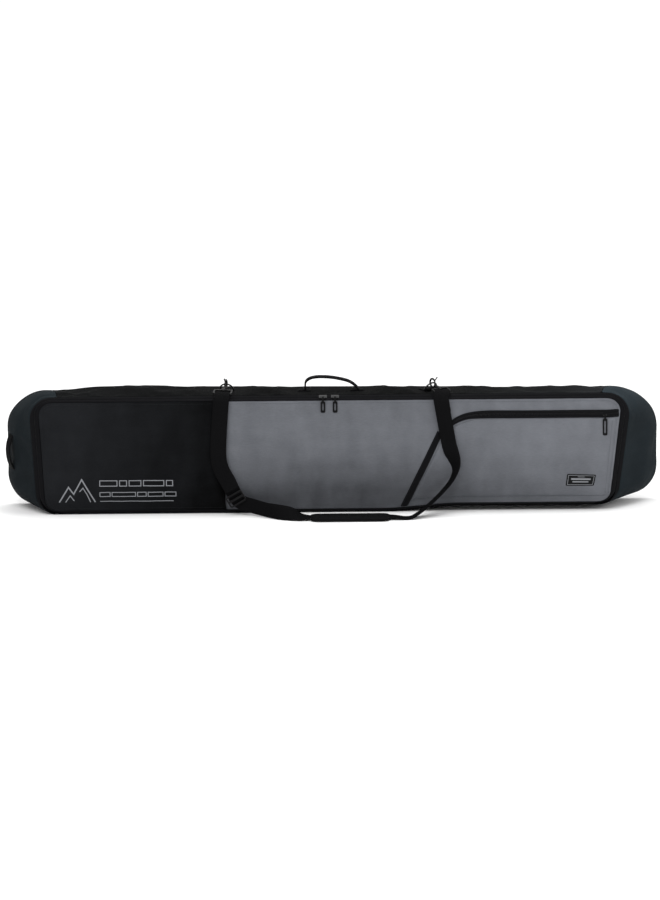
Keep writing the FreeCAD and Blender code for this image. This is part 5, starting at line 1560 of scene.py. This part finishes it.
# Shoulder pad: cushion with a sleeve for the webbing.
PAD_LOW, PAD_HIGH = box_mm("shoulder_pad")
PCY = (PAD_LOW[1] + PAD_HIGH[1]) / 2
half_w = (PAD_HIGH[1] - PAD_LOW[1]) / 2
PX0, PX1 = PAD_LOW[0], PAD_HIGH[0]
stations = np.concatenate([[0, 1.2, 3.5, 7], np.linspace(12, PX1 - PX0 - 12, 44), [PX1 - PX0 - 7, PX1 - PX0 - 3.5,
                                                                                    PX1 - PX0 - 1.2, PX1 - PX0]])
M1 = 40
verts, faces = [], []
for s in stations:
    d = min(s, PX1 - PX0 - s)
    w = 22.5 + (half_w - 22.5) * math.sqrt(max(0.0, 1 - ((26 - min(d, 26)) / 26.0) ** 2))
    top = PAD_LOW[2] + 9.4 + 1.5 * min(1, d / 10) ** 0.5
    low = PAD_LOW[2] + 0.9 * (1 - min(1, d / 6) ** 0.5)
    zc, hh = (top + low) / 2, (top - low) / 2
    for k in range(M1):
        a = 2 * math.pi * k / M1
        ca, sa = math.cos(a), math.sin(a)
        y = w * math.copysign(abs(ca) ** 0.62, ca)
        z = hh * math.copysign(abs(sa) ** 0.8, sa)
        if sa > 0:
            valley = 0.9 * math.exp(-((abs(y) - (w - 8.5)) / 1.6) ** 2)
            rib = 0.35 * math.cos(2 * math.pi * s / 16.0) * (1 if abs(y) < w - 12 else 0)
            z += -valley * (sa ** 0.3) + rib * min(1, d / 12)
        verts.append((PX0 + s, PCY + y, zc + z))
n_out = len(verts)
K = len(stations)
for s in stations:
    for k in range(M1):
        a = 2 * math.pi * k / M1
        ca, sa = math.cos(a), math.sin(a)
        y = 20.6 * math.copysign(abs(ca) ** 0.3, ca)
        z = 1.65 * math.copysign(abs(sa) ** 0.4, sa)
        verts.append((PX0 + s, PCY + y, 7.3 + z))
for i in range(K - 1):
    for k in range(M1):
        k2 = (k + 1) % M1
        faces.append((i * M1 + k, (i + 1) * M1 + k, (i + 1) * M1 + k2, i * M1 + k2))
        o = n_out
        faces.append((o + i * M1 + k2, o + (i + 1) * M1 + k2, o + (i + 1) * M1 + k, o + i * M1 + k))
for k in range(M1):
    k2 = (k + 1) % M1
    faces.append((k, k2, n_out + k2, n_out + k))
    e = (K - 1) * M1
    faces.append((e + k2, e + k, n_out + e + k, n_out + e + k2))
pad = make("shoulder_pad_cushion", np.array(verts), faces, M_PADCLOTH, "shoulder_pad", ["shoulder_pad"], "pad_cloth",
           levels=1, attributes={"edge": np.zeros(len(verts))})
lines = []
for sgn in (-1, 1):
    xs = np.linspace(PX0 + 12, PX1 - 12, 60)
    row = []
    for x in xs:
        d = min(x - PX0, PX1 - x)
        w = 22.5 + (half_w - 22.5) * math.sqrt(max(0.0, 1 - ((26 - min(d, 26)) / 26.0) ** 2))
        y = sgn * (w - 8.5)
        frac = (abs(y) / w) ** (1 / 0.62)
        sa = math.sqrt(max(0.0, 1 - frac ** 2))
        top = PAD_LOW[2] + 9.4 + 1.5 * min(1, d / 10) ** 0.5
        zc, hh = (top + PAD_LOW[2]) / 2, (top - PAD_LOW[2]) / 2
        row.append((x, PCY + y, zc + hh * sa ** 0.8 - 0.9 * sa ** 0.3))
    lines.append(stitch_line(row, [np.array([0, 0, 1.0])] * len(row), lift=0.15))
v, f = merge(lines)
pad_thread = make("stitches_pad", v, f, M_THREAD, "shoulder_pad")

for piece in (strap, strap_thread, lock, pad, pad_thread):
    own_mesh(piece)

low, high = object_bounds()
